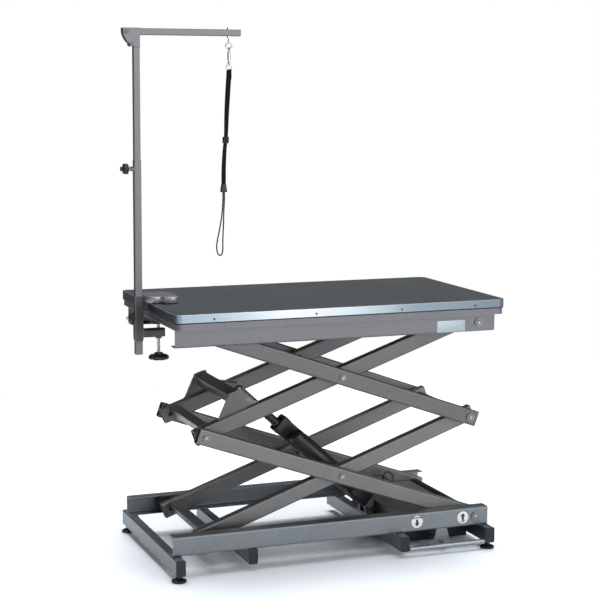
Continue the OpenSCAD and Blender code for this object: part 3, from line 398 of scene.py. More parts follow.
# Studio: a white sweep that runs on past the view, two soft lights that draw the table's
# shadow under it and in front of it, and a large soft source in front, to the right of the camera.
def stage_floor():
    side, front, back = 4.0, -4.5, 2.6
    mesh = bpy.data.meshes.new("studio_floor")
    corners = [(-side, front, 0), (side, front, 0), (side, back, 0), (-side, back, 0)]
    mesh.from_pydata(corners, [], [(0, 1, 2, 3)])
    made, tree = new_material("white_sweep")
    path = add(tree, "ShaderNodeLightPath").outputs
    seen = add(tree, "ShaderNodeMath", {"operation": "MAXIMUM"}, _0=path["Is Camera Ray"],
               _1=path["Is Glossy Ray"])
    seen = add(tree, "ShaderNodeMath", {"operation": "MAXIMUM"}, _0=seen, _1=path["Is Transmission Ray"])
    tone = add(tree, "ShaderNodeMix", {"data_type": "RGBA"}, Factor=seen, _6="#bfc2c5",
               _7=(1.28, 1.35, 1.42, 1))
    matt = add(tree, "ShaderNodeBsdfDiffuse", Color=tone.outputs["Result"])
    mesh.materials.append(finish_material(made, tree, matt))
    linked("studio_floor", mesh)


def studio_air():
    """White to the camera. For light it is bright in front to the right, and dim on the left and above."""
    air = bpy.data.worlds.new("studio_air")
    air.use_nodes = True
    tree = air.node_tree
    tree.nodes.clear()
    way = add(tree, "ShaderNodeTexCoord").outputs["Generated"]
    facing = add(tree, "ShaderNodeVectorMath", {"operation": "DOT_PRODUCT"}, _0=way, _1=(0.42, -0.9, 0.0))
    front = add(tree, "ShaderNodeMapRange", {"interpolation_type": "SMOOTHSTEP"},
                Value=facing.outputs["Value"], From_Min=-0.35, From_Max=0.8, To_Min=0.1, To_Max=1.05)
    height = add(tree, "ShaderNodeSeparateXYZ", Vector=way).outputs["Z"]
    level = add(tree, "ShaderNodeMapRange", {"interpolation_type": "SMOOTHSTEP"}, Value=height,
                From_Min=0.05, From_Max=0.75, To_Min=1.0, To_Max=0.2)
    strength = add(tree, "ShaderNodeMath", {"operation": "MULTIPLY"}, _0=front, _1=level)
    soft = add(tree, "ShaderNodeBackground", Color=(0.97, 0.985, 1, 1), Strength=strength)
    white = add(tree, "ShaderNodeBackground", Color=(1, 1, 1, 1), Strength=1.0)
    path = add(tree, "ShaderNodeLightPath").outputs
    mirrored = add(tree, "ShaderNodeMath", {"operation": "MAXIMUM"}, _0=path["Is Glossy Ray"],
                   _1=path["Is Transmission Ray"])
    faint = add(tree, "ShaderNodeMath", {"operation": "MULTIPLY"}, _0=mirrored, _1=0.08)
    seen = add(tree, "ShaderNodeMath", {"operation": "MAXIMUM"}, _0=path["Is Camera Ray"], _1=faint)
    backed = add(tree, "ShaderNodeMixShader", _0=seen, _1=soft, _2=white)
    add(tree, "ShaderNodeOutputWorld", Surface=backed)
    scene.world = air


def soft_light(name, strength, spread, way):
    """A far light that shines along way, spread over that many degrees."""
    lamp = bpy.data.lights.new(name, "SUN")
    lamp.energy = strength
    lamp.angle = math.radians(spread)
    linked(name, lamp).rotation_euler = Vector(way).to_track_quat("-Z", "Y").to_euler()


stage_floor()
studio_air()
soft_light("top_light", 1.25, 40, (0, 0.02, -1))
soft_light("back_light", 1.25, 40, (-0.08, -0.36, -1))
soft_light("front_light", 1.0, 40, (-0.4, 1, -0.25))


# Base frame: rails, cross tubes, box, clevis and pedal in steel tube and sheet, under a grey
# hammered enamel. Two round vinyl stickers show which way the pedal drives the lift.
def worn_and_highlit_edge(tree, colour, highlight_hex, radius, metallic):
    """The colour made brighter on sharp edges, partly as wear and partly as a painted highlight, a normal
    that rolls over them, and the metallic value, lowered on the edges so that they catch light.
    """
    rolled = add(tree, "ShaderNodeBevel", {"samples": 4}, Radius=radius * mm)
    flat = add(tree, "ShaderNodeNewGeometry").outputs["Normal"]
    same = add(tree, "ShaderNodeVectorMath", {"operation": "DOT_PRODUCT"}, _0=rolled, _1=flat)
    # Where the rolled normal turns away, the colour is lifted: wear on the edges, and a painted highlight
    # along them.
    edge = add(tree, "ShaderNodeMapRange", Value=same.outputs["Value"], From_Min=0.985, From_Max=0.85,
               To_Max=0.7)
    worn_and_highlit = add(tree, "ShaderNodeMix", {"data_type": "RGBA"}, Factor=edge, _6=colour, _7=highlight_hex)
    sheer = add(tree, "ShaderNodeMapRange", Value=edge, To_Min=metallic, To_Max=0.1)
    return worn_and_highlit.outputs["Result"], rolled, sheer


def enamel(name, dark_hex, light_hex, metallic=0.75, gloss=0.36, edge_highlight_hex="#c3c5c7"):
    """Hammered enamel: a film that pulls into shallow dimples about 3 mm across, its edges worn thin and
    brightened with a painted highlight.
    """
    made, tree, place = new_finish(name)
    colour, cloud = blotched(tree, place, 140, dark_hex, light_hex)
    flake = add(tree, "ShaderNodeTexNoise", Vector=place, Scale=1000 / 5, Detail=3.0, Roughness=0.7)
    flake_tone = add(tree, "ShaderNodeMapRange", Value=flake, From_Min=0.3, From_Max=0.7, To_Min=0.87,
                     To_Max=1.12)
    tinted = add(tree, "ShaderNodeVectorMath", {"operation": "SCALE"}, Vector=colour, Scale=flake_tone)
    # Sharp edges are brightened, partly as wear and partly as a painted highlight.
    worn_and_highlit, rolled, sheer = worn_and_highlit_edge(tree, tinted.outputs[0], edge_highlight_hex, 4, metallic)
    dimples = add(tree, "ShaderNodeTexVoronoi", {"feature": "SMOOTH_F1"}, Vector=place, Scale=1000 / 3.2,
                  Smoothness=0.7)
    rough = add(tree, "ShaderNodeMapRange", Value=cloud, To_Min=gloss - 0.06, To_Max=gloss + 0.08)
    relief = add(tree, "ShaderNodeBump", Strength=0.3, Distance=0.5 * mm, Height=dimples, Normal=rolled)
    return finish_material(made, tree, add(
        tree, "ShaderNodeBsdfPrincipled", Base_Color=worn_and_highlit, Metallic=sheer, Roughness=rough, Normal=relief,
        Coat_Weight=0.15, Coat_Roughness=0.3))


def dress(material, *names):
    """Gives CAD nodes a material."""
    for name in names:
        nodes[name].data.materials.clear()
        nodes[name].data.materials.append(material)


base_enamel = enamel("base_enamel", "#6a6f73", "#797e82")
dress(base_enamel, "base_rail_front", "base_rail_rear", "cross_tube_left", "cross_tube_mid_left",
      "cross_tube_mid_right", "cross_tube_right", "actuator_clevis")


def box_finish():
    """The box's tray is painted near-black as the shade it sits in under the rails, and its lid has the
    frame's enamel tone.
    """
    made, tree, place = new_finish("box_finish")
    colour, cloud = blotched(tree, place, 140, "#5c6063", "#6c7073")
    height = add(tree, "ShaderNodeSeparateXYZ", Vector=place).outputs["Z"]
    lid = add(tree, "ShaderNodeMath", {"operation": "GREATER_THAN"}, _0=height, _1=76 * mm)
    # Below the lid the box is painted near-black, as painted shade.
    tone = add(tree, "ShaderNodeMix", {"data_type": "RGBA"}, Factor=lid, _6="#1c1e20", _7=colour)
    rough = add(tree, "ShaderNodeMapRange", Value=cloud, To_Min=0.34, To_Max=0.48)
    return finish_material(made, tree, add(
        tree, "ShaderNodeBsdfPrincipled", Base_Color=tone.outputs["Result"], Metallic=0.5, Roughness=rough))


dress(box_finish(), "control_box")
pedal_enamel = enamel("pedal_enamel", "#8d969b", "#a3abb0", 0.8, 0.3, "#eef2f4")
dress(pedal_enamel, "foot_pedal")


def plain_finish(name, hex_colour, rough, grain):
    """Smooth vinyl or printed film, with a faint orange peel."""
    made, tree, place = new_finish(name)
    peel = add(tree, "ShaderNodeTexNoise", Vector=place, Scale=1000 / grain, Detail=2.0)
    tone = add(tree, "ShaderNodeMix", {"data_type": "RGBA"}, Factor=peel, _6=hex_colour,
               _7=[min(c * 1.1, 1) for c in linear(hex_colour)])
    relief = add(tree, "ShaderNodeBump", Strength=0.1, Distance=0.1 * mm, Height=peel)
    return finish_material(made, tree, add(
        tree, "ShaderNodeBsdfPrincipled", Base_Color=tone.outputs["Result"], Roughness=rough, Normal=relief))


white_vinyl = plain_finish("white_vinyl", "#fafafa", 0.4, 6)
black_print = plain_finish("black_print", "#15161a", 0.35, 6)
rail_face = 267


def pedal_sticker(name, x, z, word, sign):
    """A white disc with an arrow and a word. sign is 1 for up and -1 for down."""
    radius = 20
    film = 0.42
    turns = [math.tau * k / 48 for k in range(48)]
    disc = [(radius * math.cos(a), radius * math.sin(a)) for a in turns]
    arrow = [(0, 15), (9, 4), (4, 4), (4, -8), (-4, -8), (-4, 4), (-9, 4)]
    arrow = [(px, sign * py) for px, py in arrow][::sign]
    for part, outline, lift, thick, bevel, finish in (("_disc", disc, 0, 0.4, 0.1, white_vinyl),
                                                      ("_arrow", arrow, film, 0.15, 0.03, black_print)):
        mount(pressed(name + part, outline, thick, bevel, finish, at(x, -rail_face - lift, z)), "base",
              "frame_paint")
    letters = bpy.data.curves.new(name + "_word", "FONT")
    letters.body = word
    letters.size = 10 * mm
    letters.align_x = letters.align_y = "CENTER"
    letters.extrude = 0.05 * mm
    letters.offset = 0.35 * mm
    letters.materials.append(black_print)
    holder = linked(name + "_text", letters)
    mesh = bpy.data.meshes.new_from_object(holder.evaluated_get(bpy.context.evaluated_depsgraph_get()))
    mesh.name = name + "_word"
    place = Matrix.Translation(at(x, -rail_face - film - 0.05, z - sign * 13))
    mesh.transform(place @ Matrix.Rotation(math.radians(90), 4, "X"))
    bpy.data.objects.remove(holder)
    mount(linked(name + "_word", mesh), "base", "frame_paint")


pedal_sticker("sticker_down", 267, 103, "DOWN", -1)
pedal_sticker("sticker_up", 431, 102, "UP", 1)


def plated(name, dark_hex, light_hex, rough=0.24):
    """Turned steel with nickel or zinc on it, dulled in places."""
    made, tree, place = new_finish(name)
    colour, cloud = blotched(tree, place, 12, dark_hex, light_hex)
    gloss = add(tree, "ShaderNodeMapRange", Value=cloud, To_Min=rough - 0.07, To_Max=rough + 0.12)
    relief = add(tree, "ShaderNodeBump", Strength=0.12, Distance=0.1 * mm, Height=cloud)
    return finish_material(made, tree, add(
        tree, "ShaderNodeBsdfPrincipled", Base_Color=colour, Metallic=1.0, Roughness=gloss, Normal=relief))


nickel = plated("nickel_plate", "#b4b6b9", "#d6d7d9")
zinc = plated("zinc_plate", "#8b8d90", "#b2b4b6", 0.34)
dress(zinc, "clevis_pin")


def repeated(name, unit, places, facings, material):
    """Copies of a unit mesh, set at the places and turned to the facings by Geometry Nodes, as one mesh."""
    carrier = bpy.data.meshes.new(name)
    carrier.from_pydata([tuple(p) for p in places], [], [])
    facing = carrier.attributes.new("facing", "FLOAT_VECTOR", "POINT")
    for spot, way in zip(facing.data, facings):
        spot.vector = way
    made = linked(name, carrier)
    tree = bpy.data.node_groups.new(name, "GeometryNodeTree")
    tree.interface.new_socket("Geometry", in_out="INPUT", socket_type="NodeSocketGeometry")
    unit_socket = tree.interface.new_socket("Unit", in_out="INPUT", socket_type="NodeSocketObject")
    tree.interface.new_socket("Geometry", in_out="OUTPUT", socket_type="NodeSocketGeometry")
    start = add(tree, "NodeGroupInput")
    shape = add(tree, "GeometryNodeObjectInfo", Object=start.outputs["Unit"])
    way = add(tree, "GeometryNodeInputNamedAttribute", {"data_type": "FLOAT_VECTOR"}, Name="facing")
    turn = add(tree, "FunctionNodeAlignRotationToVector", {"axis": "Z"}, Vector=way.outputs["Attribute"])
    copies = add(tree, "GeometryNodeInstanceOnPoints", Points=start.outputs["Geometry"],
                 Instance=shape.outputs["Geometry"], Rotation=turn.outputs["Rotation"])
    whole = add(tree, "GeometryNodeRealizeInstances", Geometry=copies.outputs["Instances"])
    dressed = add(tree, "GeometryNodeSetMaterial", Geometry=whole.outputs["Geometry"], Material=material)
    add(tree, "NodeGroupOutput", Geometry=dressed.outputs["Geometry"])
    maker = made.modifiers.new("repeat", "NODES")
    maker.node_group = tree
    maker[unit_socket.identifier] = unit
    bpy.context.view_layer.update()
    baked = bpy.data.meshes.new_from_object(made.evaluated_get(bpy.context.evaluated_depsgraph_get()))
    baked.name = name
    made.modifiers.clear()
    made.data = baked
    bpy.data.objects.remove(unit)
    return made


def weld_line(start, end, pitch=4.5):
    """Places along a seam, one for each ripple of the bead."""
    count = max(int((end - start).length / (pitch * mm)), 2)
    return [start.lerp(end, k / count) for k in range(count + 1)]


def weld_seams(name, body, slot, material, seams):
    """Rippled beads. Each seam is start, end and the way that the bead faces, in table millimetres."""
    unit = turned(name + "_ripple", [(0, -1.6), (2.4, -1.2), (3.1, 0.0), (2.6, 1.0), (1.4, 1.7), (0, 1.9)],
                  material, sides=10)
    places, facings = [], []
    for start, end, way in seams:
        line = weld_line(at(*start), at(*end))
        places += line
        facings += [way] * len(line)
    return mount(repeated(name, unit, places, facings, material), body, slot)


tube_top = 71.5
tube_seams = [(190, -1), (494, -1), (-522, 1), (220, 1)]
weld_seams("base_welds", "base", "frame_paint", base_enamel,
           [((x, side * (rail_face + 1), tube_top), (x, side * (rail_face - 39), tube_top), (way, 0, 0.6))
            for x, way in tube_seams for side in (-1, 1)])


# Feet and tube caps: glass-filled nylon, moulded black, with a fine spark texture. The feet screw
# into the outer cross tubes, and the ribbed caps are pushed into the ends of all four.
dress(nylon, "tube_end_caps", "foot_front_left", "foot_front_right", "foot_rear_left", "foot_rear_right")


# Scissor arms: rectangular steel tube under a neutral grey hammered enamel, with welded ties and
# yoke. The pins have painted heads on the outer arms, each with a zinc-plated domed bolt in it.
arm_enamel = enamel("arm_enamel", "#5f5f5f", "#6f6f6f")
dress(arm_enamel, "lower_outer_arm_front", "lower_outer_arm_rear", "lower_inner_arm_front",
      "lower_inner_arm_rear", "lower_inner_tie")
# The upper arms have the same enamel, painted darker as the shade under the tabletop.
shaded_upper_enamel = enamel("upper_arm_shaded_enamel", "#535353", "#626262")
dress(shaded_upper_enamel, "upper_outer_arm_front", "upper_outer_arm_rear", "upper_inner_arm_front",
      "upper_inner_arm_rear", "upper_inner_tie")
# The yoke has the same enamel, painted darker as the shade that falls on it.
dress(enamel("yoke_shaded_enamel", "#3c3c3c", "#626262", 0.75, 0.34), "actuator_yoke")


def pin_finish():
    """Grey paint on the heads, which come through the arms, and black oxide on what lies between."""
    made, tree, place = new_finish("pin_finish")
    colour, cloud = blotched(tree, place, 10, "#6a6a6b", "#808081")
    across = add(tree, "ShaderNodeSeparateXYZ", Vector=place).outputs["Y"]
    depth = add(tree, "ShaderNodeMath", {"operation": "ABSOLUTE"}, _0=across)
    outside = add(tree, "ShaderNodeMath", {"operation": "GREATER_THAN"}, _0=depth, _1=200 * mm)
    tone = add(tree, "ShaderNodeMix", {"data_type": "RGBA"}, Factor=outside, _6="#1d1d1f", _7=colour)
    rough = add(tree, "ShaderNodeMapRange", Value=cloud, To_Min=0.28, To_Max=0.42)
    return finish_material(made, tree, add(
        tree, "ShaderNodeBsdfPrincipled", Base_Color=tone.outputs["Result"], Metallic=0.6, Roughness=rough))


dress(pin_finish(), "lower_outer_pins", "lower_inner_pins", "upper_outer_pins", "upper_inner_pins")
base_z = 102
top_z = 740.9
stage_h = (top_z - base_z) / 2
fixed_x = 475
roll_x = -427.11
arm_slope = math.atan2(stage_h, fixed_x - roll_x)


def domed_heads(name, body, spots):
    """Domed bolt heads with a hollow for the key. Each spot is x, z and the distance from the middle."""
    profile = [(0, -0.2), (7.6, -0.2), (7.6, 0.4), (6.6, 2.0), (4.8, 3.0), (3.4, 3.3), (2.9, 2.6), (2.6, 1.4),
               (0, 1.2)]
    unit = turned(name + "_unit", profile, zinc, sides=24)
    places = [at(x, side * y, z) for x, z, y in spots for side in (-1, 1)]
    facings = [(0, side, 0) for _ in spots for side in (-1, 1)]
    return mount(repeated(name, unit, places, facings, zinc), body, "bright_pin")


middle_x = (fixed_x + roll_x) / 2
pin_face = 225
domed_heads("lower_heads", "lower_outer_arms",
            [(middle_x, base_z + stage_h / 2, pin_face), (roll_x, base_z + stage_h, pin_face),
             (fixed_x, base_z, rail_face + 4)])
domed_heads("middle_heads", "lower_inner_arms", [(fixed_x, base_z + stage_h, pin_face + 1)])
domed_heads("upper_heads", "upper_outer_arms", [(middle_x, base_z + 1.5 * stage_h, pin_face)])
domed_heads("top_heads", "upper_inner_arms", [(fixed_x, top_z, rail_face + 2)])


def on_arm(u, v, y):
    """Table millimetres of a point u along the upper inner arms and v above their middle line."""
    return (roll_x + u * math.cos(arm_slope) - v * math.sin(arm_slope), y,
            base_z + stage_h + u * math.sin(arm_slope) + v * math.cos(arm_slope))


arm_top = 25.5
gusset_ends = (66, 162)
weld_seams("yoke_welds", "upper_inner_arms", "arm_paint", shaded_upper_enamel,
           [(on_arm(gusset_ends[0], arm_top, side * y), on_arm(gusset_ends[1], arm_top, side * y),
             (0, way * side, 0.6)) for y, way in ((171, -1), (181, 1)) for side in (-1, 1)]
           + [(on_arm(33.5, arm_top, side * 158), on_arm(33.5, -4, side * 158), (0, -side, 0))
              for side in (-1, 1)])
yoke_x, _, yoke_z = on_arm(198, 43, 0)
domed_heads("yoke_heads", "upper_inner_arms", [(yoke_x, yoke_z, 30.2)])
along_arm = (math.cos(arm_slope), 0, math.sin(arm_slope))
off_arm = (-math.sin(arm_slope), 0, math.cos(arm_slope))
for name, y in (("yoke_toe_front", -175), ("yoke_toe_rear", 181)):
    mount(pressed(name, [(163.5, 25.2), (206, 25.2), (177, 53), (163.5, 60)], 6, 0.8, shaded_upper_enamel,
                  at(*on_arm(0, 0, y)), along_arm, off_arm), "upper_inner_arms", "arm_paint")


# Rollers: wheels turned from dark nylon, on steel axles at the arms' sliding ends. Two run inside
# the base rails, and two inside the channels under the tabletop.
roller_nylon = moulded("roller_nylon", "#1f1f20", "#2c2c2d", 0.5, 1.5)
dress(roller_nylon, "base_roller_front", "base_roller_rear", "top_roller_front", "top_roller_rear")


# Actuator: a die-cast gearbox with a motor beside a square tube, all in black. The push rod runs
# in the tube, and its steel end turns on the yoke's pin.
black_coat = moulded("black_powder_coat", "#121314", "#1d1e20", 0.5, 1.2)
motor_paint = moulded("motor_paint", "#121214", "#1c1d20", 0.4, 3.0, 0.08)
clevis_low, clevis_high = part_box("clevis_pin")
low_pin = (clevis_low + clevis_high) / 2
yoke_pin = at(yoke_x, 0, yoke_z)
thrust = (yoke_pin - low_pin).normalized()
rise = thrust.cross(Vector((0, 1, 0)))
if rise.z < 0:
    rise = -rise
house_low = -23.8
house_high = 33
gear_end = 108
mouth = 435


def on_thrust(s, y, v):
    """A point s along the actuator from its lower pin, y across and v above, in millimetres."""
    return low_pin + thrust * s * mm + Vector((0, y * mm, 0)) + rise * v * mm


def cast_block(name, rings, material, bore=()):
    """A casting through rounded rectangles. Each ring is s, y, v, width, height and corner radius."""
    every = list(rings) + list(bore)
    points = [on_thrust(s, y + py, v + pv) for s, y, v, w, h, r in every for py, pv in rounded(w, h, r)]
    return new_piece(name, points, ring_faces(len(every), len(points) // len(every)), material, 50)


mid_v = (house_low + house_high) / 2
tall = house_high - house_low
tube_w = 48
mouth_w = 52
bore_shape = (0, 1.7, 33, 48.6, 15.9)
tube = cast_block("housing_tube", [
    (gear_end - 2, 0, mid_v, tube_w - 2, tall - 2, 8), (gear_end - 2, 0, mid_v, tube_w, tall, 9),
    (mouth - 30, 0, mid_v, tube_w, tall, 9), (mouth - 26, 0, mid_v, mouth_w, tall + 3, 10),
    (mouth - 2, 0, mid_v, mouth_w, tall + 3, 10), (mouth, 0, mid_v, mouth_w - 3, tall, 9)],
    black_coat, [(mouth, *bore_shape), (gear_end + 12, *bore_shape)])
mount(tube, "actuator_body", "actuator_case", "actuator_housing")
case_y = -26
case_w = 112
mount(cast_block("gear_case", [
    (34, case_y, mid_v, case_w - 8, tall - 6, 9), (38, case_y, mid_v, case_w, tall, 12),
    (gear_end - 4, case_y, mid_v, case_w, tall, 12), (gear_end, case_y, mid_v, case_w - 6, tall - 6, 10)],
    black_coat), "actuator_body", "actuator_case")
mount(cast_block("gear_flange", [
    (66, case_y, mid_v, case_w + 2, tall + 2, 13), (67, case_y, mid_v, case_w + 4, tall + 4, 14),
    (71, case_y, mid_v, case_w + 4, tall + 4, 14), (72, case_y, mid_v, case_w + 2, tall + 2, 13)],
    black_coat), "actuator_body", "actuator_case")
mount(cast_block("lower_eye", [
    (-19, 0, 0, 34, 12, 2), (-15, 0, 0, 38, 26, 2), (-8, 0, 0, 39, 35, 2), (2, 0, 0, 39, 38, 2),
    (36, 0, 0, 39, 38, 2)], black_coat), "actuator_body", "actuator_case")
motor_y = -53
motor_v = 5
motor_r = 27
motor_len = 278
mount(turned("motor_can", [
    (0, 0), (motor_r, 0), (motor_r, 6), (motor_r - 1.2, 7), (motor_r - 1.2, 14), (motor_r, 15),
    (motor_r, motor_len - 34), (motor_r - 1.5, motor_len - 32), (motor_r - 1.5, motor_len - 10),
    (motor_r - 4, motor_len - 4), (motor_r - 9, motor_len), (0, motor_len + 1)], motor_paint,
    on_thrust(gear_end, motor_y, motor_v), thrust, 40), "actuator_body", "motor_case", "actuator_motor")


def rod_finish():
    """Black chrome on the rod, and bare grey steel on its sleeved end."""
    made, tree, place = new_finish("rod_finish")
    colour, cloud = blotched(tree, place, 30, "#77787a", "#939496")
    run = add(tree, "ShaderNodeVectorMath", {"operation": "DOT_PRODUCT"}, _0=place, _1=thrust[:])
    sleeve = add(tree, "ShaderNodeMath", {"operation": "GREATER_THAN"}, _0=run.outputs["Value"],
                 _1=yoke_pin.dot(thrust) - 68 * mm)
    tone = add(tree, "ShaderNodeMix", {"data_type": "RGBA"}, Factor=sleeve, _6="#131314", _7=colour)
    rough = add(tree, "ShaderNodeMapRange", Value=cloud, To_Min=0.3, To_Max=0.42)
    return finish_material(made, tree, add(
        tree, "ShaderNodeBsdfPrincipled", Base_Color=tone.outputs["Result"], Metallic=0.6, Roughness=rough))


dress(rod_finish(), "actuator_rod")
cover_foot = 244
cover_len = (yoke_pin - low_pin).length / mm - 70 - cover_foot
cover_r = 14.4
cover = [(12.4, 0), (12.8, 0.8), (12.8, 166), (cover_r, 168)]
for rib in range(5):
    cover += [(r, 196 + 12 * rib + z) for r, z in ((cover_r, 0), (13, 2), (13, 5), (cover_r, 7))]
cover += [(cover_r, cover_len - 1), (13, cover_len), (12.4, cover_len), (12.4, 0)]
mount(turned("rod_cover", cover, motor_paint, on_thrust(cover_foot, 0, 0), thrust, 28),
      "actuator_rod", "actuator_case")


# Tabletop: a plywood board in a steel band, edged with aluminium that is anodised clear, under
# a rubber mat. Small countersunk screws hold the edging, and a bare plate is riveted in front.
trim_base = 789.9
deck_end = 550


def anodised():
    """Drawn lines along the edging, with a painted reflection that is brightest about a third of the way
    along and darker towards the ends, painted shade on the left end face, lips painted bright as a highlight,
    and a painted shadow along its foot.
    """
    made, tree, place = new_finish("anodised_aluminium")
    drawn = add(tree, "ShaderNodeMapping", Vector=place, Scale=(1, 1, 60))
    lines = add(tree, "ShaderNodeTexNoise", Vector=drawn, Scale=14.0, Detail=4.0)
    parts = add(tree, "ShaderNodeSeparateXYZ", Vector=place).outputs
    # The tone along the edging is a painted reflection, and its darkest stop at the left end is painted shade
    # on the end face.
    run = add(tree, "ShaderNodeMapRange", Value=parts["X"], From_Min=at(-deck_end, 0, 0).x,
              From_Max=at(deck_end, 0, 0).x)
    painted_light_along = add(tree, "ShaderNodeValToRGB", Fac=run)
    ends = painted_light_along.color_ramp.elements
    ends[0].color, ends[1].color = linear("#4f575e"), linear("#626d76")
    for along, tone in ((0.01, "#85929c"), (0.12, "#8b98a2"), (0.33, "#bcbfc2"), (0.5, "#a9b0b5"),
                        (0.7, "#727e88")):
        ends.new(along).color = linear(tone)
    line_tone = add(tree, "ShaderNodeMapRange", Value=lines, To_Min=0.88, To_Max=1.12)
    colour = add(tree, "ShaderNodeVectorMath", {"operation": "SCALE"}, Vector=painted_light_along, Scale=line_tone)
    # The lowest 2.5 mm of the edging are painted dark, as the shadow where it meets the band.
    above = add(tree, "ShaderNodeMapRange", Value=parts["Z"], From_Min=(trim_base + 2.5) * mm,
                From_Max=(trim_base + 4) * mm)
    # Its lips are painted towards white, as a highlight.
    worn_and_highlit, rolled, sheer = worn_and_highlit_edge(tree, colour.outputs[0], "#ffffff", 3.5, 1.0)
    gap_shaded = add(tree, "ShaderNodeMix", {"data_type": "RGBA"}, Factor=above, _6="#24282b", _7=worn_and_highlit)
    rough = add(tree, "ShaderNodeMapRange", Value=lines, To_Min=0.22, To_Max=0.34)
    relief = add(tree, "ShaderNodeBump", Strength=0.12, Distance=0.2 * mm, Height=lines, Normal=rolled)
    return finish_material(made, tree, add(
        tree, "ShaderNodeBsdfPrincipled", Base_Color=gap_shaded.outputs["Result"], Metallic=sheer,
        Roughness=rough, Normal=relief))


def rubber_mat():
    """Slate rubber with a pebble grain about 4 mm across and a faint scuffed cloud."""
    made, tree, place = new_finish("mat_rubber")
    colour, cloud = blotched(tree, place, 220, "#32373b", "#42494d", 5.0)
    pebble = add(tree, "ShaderNodeTexVoronoi", Vector=place, Scale=1000 / 4)
    rough = add(tree, "ShaderNodeMapRange", Value=cloud, To_Min=0.5, To_Max=0.68)
    relief = add(tree, "ShaderNodeBump", Strength=0.45, Distance=0.5 * mm, Height=pebble)
    return finish_material(made, tree, add(
        tree, "ShaderNodeBsdfPrincipled", Base_Color=colour, Roughness=rough, Normal=relief))


def plywood():
    """Birch plywood, whose plies show as brown bands where the board is seen from below."""
    made, tree, place = new_finish("birch_plywood")
    plies = add(tree, "ShaderNodeTexWave", {"bands_direction": "Z"}, Vector=place, Scale=1000 / 12,
                Distortion=0.6)
    colour = add(tree, "ShaderNodeMix", {"data_type": "RGBA"}, Factor=plies.outputs["Fac"], _6="#6b5238",
                 _7="#8f7450")
    return finish_material(made, tree, add(
        tree, "ShaderNodeBsdfPrincipled", Base_Color=colour.outputs["Result"], Roughness=0.65))


dress(anodised(), "edge_trim")
dress(rubber_mat(), "deck_mat")
dress(plywood(), "deck_board")
frame_enamel = enamel("frame_enamel", "#5f5f62", "#6e6e72")
dress(frame_enamel, "top_channel_front", "top_channel_rear", "deck_band")
dull_zinc = plated("dull_zinc", "#3d4043", "#56595c", 0.4)


def trim_screws():
    """Countersunk cross-head screws along both long edges and both ends of the edging."""
    profile = [(0, -0.3), (3.6, -0.3), (3.6, 0.2), (2.8, 0.6), (1.3, 0.7), (0.9, 0.1), (0, 0)]
    unit = turned("trim_screw", profile, zinc, sides=16)
    screw_z = 802
    places = [at(x, side * 306, screw_z) for x in (-428, -101, 185, 440) for side in (-1, 1)]
    facings = [(0, side, 0) for _ in range(4) for side in (-1, 1)]
    places += [at(side * (deck_end - 0.8), y, screw_z) for y in (-200, 200) for side in (-1, 1)]
    facings += [(side, 0, 0) for _ in range(2) for side in (-1, 1)]
    return repeated("trim_screws", unit, places, facings, dull_zinc)


mount(trim_screws(), "table_top", "plated")
plate_finish = plated("plate_aluminium", "#8b9398", "#9fa7ab", 0.42)
plate_x = 376.5
plate_z = 733
channel_face = 265
mount(pressed("name_plate", rounded(99, 37, 3), 0.8, 0.2, plate_finish, at(plate_x, -channel_face, plate_z)),
      "table_top", "trim_aluminium")


def plate_rivets():
    """A round-headed rivet near each end of the plate."""
    unit = turned("plate_rivet", [(0, -0.2), (2, -0.2), (2, 0.3), (1.4, 0.9), (0, 1.1)], zinc, sides=14)
    places = [at(plate_x + side * 45, -channel_face - 0.8, plate_z) for side in (-1, 1)]
    return repeated("plate_rivets", unit, places, [(0, -1, 0)] * 2, zinc)


mount(plate_rivets(), "table_top", "plated")


# Clamp: a welded frame with a jaw over the mat, on a rubber pad. A plated screw with a lobed
# nylon knob presses a round foot up under the tabletop's band.
def jaw_plan(less):
    """The jaw from above: a neck, a front lobe that is set back, a dip, and the jaw with round corners."""
    neck_x, right_x, half_w = -563, -463, 69
    neck = [(neck_x, -20), (-560, -33), (-553, -44), (-543, -50), (-533, -52), (-525, -51), (-520, -52),
            (-516, -57), (-513, -64), (-507, -half_w)]
    plan = [(x + less * (x < -562), y + less) for x, y in neck]
    for side, r, start in ((-1, 18, -90), (1, 42, 0)):
        turns = [math.radians(start + 15 * k) for k in range(7)]
        plan += [(right_x - r + (r - less) * math.cos(a), side * (half_w - r) + (r - less) * math.sin(a))
                 for a in turns]
    return plan + [(-545, half_w - less), (-556, 55 - less), (neck_x + less, 20)]


pad_base, pad_top, jaw_top = 817.9, 820.9, 840.9
jaw_enamel = enamel("jaw_enamel", "#87848b", "#9c99a1", 0.6, 0.26, "#d8d8da")
mount(pressed("jaw_plate", jaw_plan(0), jaw_top - pad_top, 1.4, jaw_enamel, at(0, 0, pad_top), (1, 0, 0),
              (0, 1, 0)), "table_top", "frame_paint", "clamp_jaw")
mount(pressed("jaw_pad", jaw_plan(4), pad_top - pad_base, 0.6, nylon, at(0, 0, pad_base), (1, 0, 0),
              (0, 1, 0)), "table_top", "pad_rubber")
# The clamp frame has the same enamel, painted darker as the shade under the end of the tabletop.
dress(enamel("clamp_shaded_enamel", "#3c3c3d", "#4e4e50"), "clamp_frame")
dress(nylon, "clamp_foot")


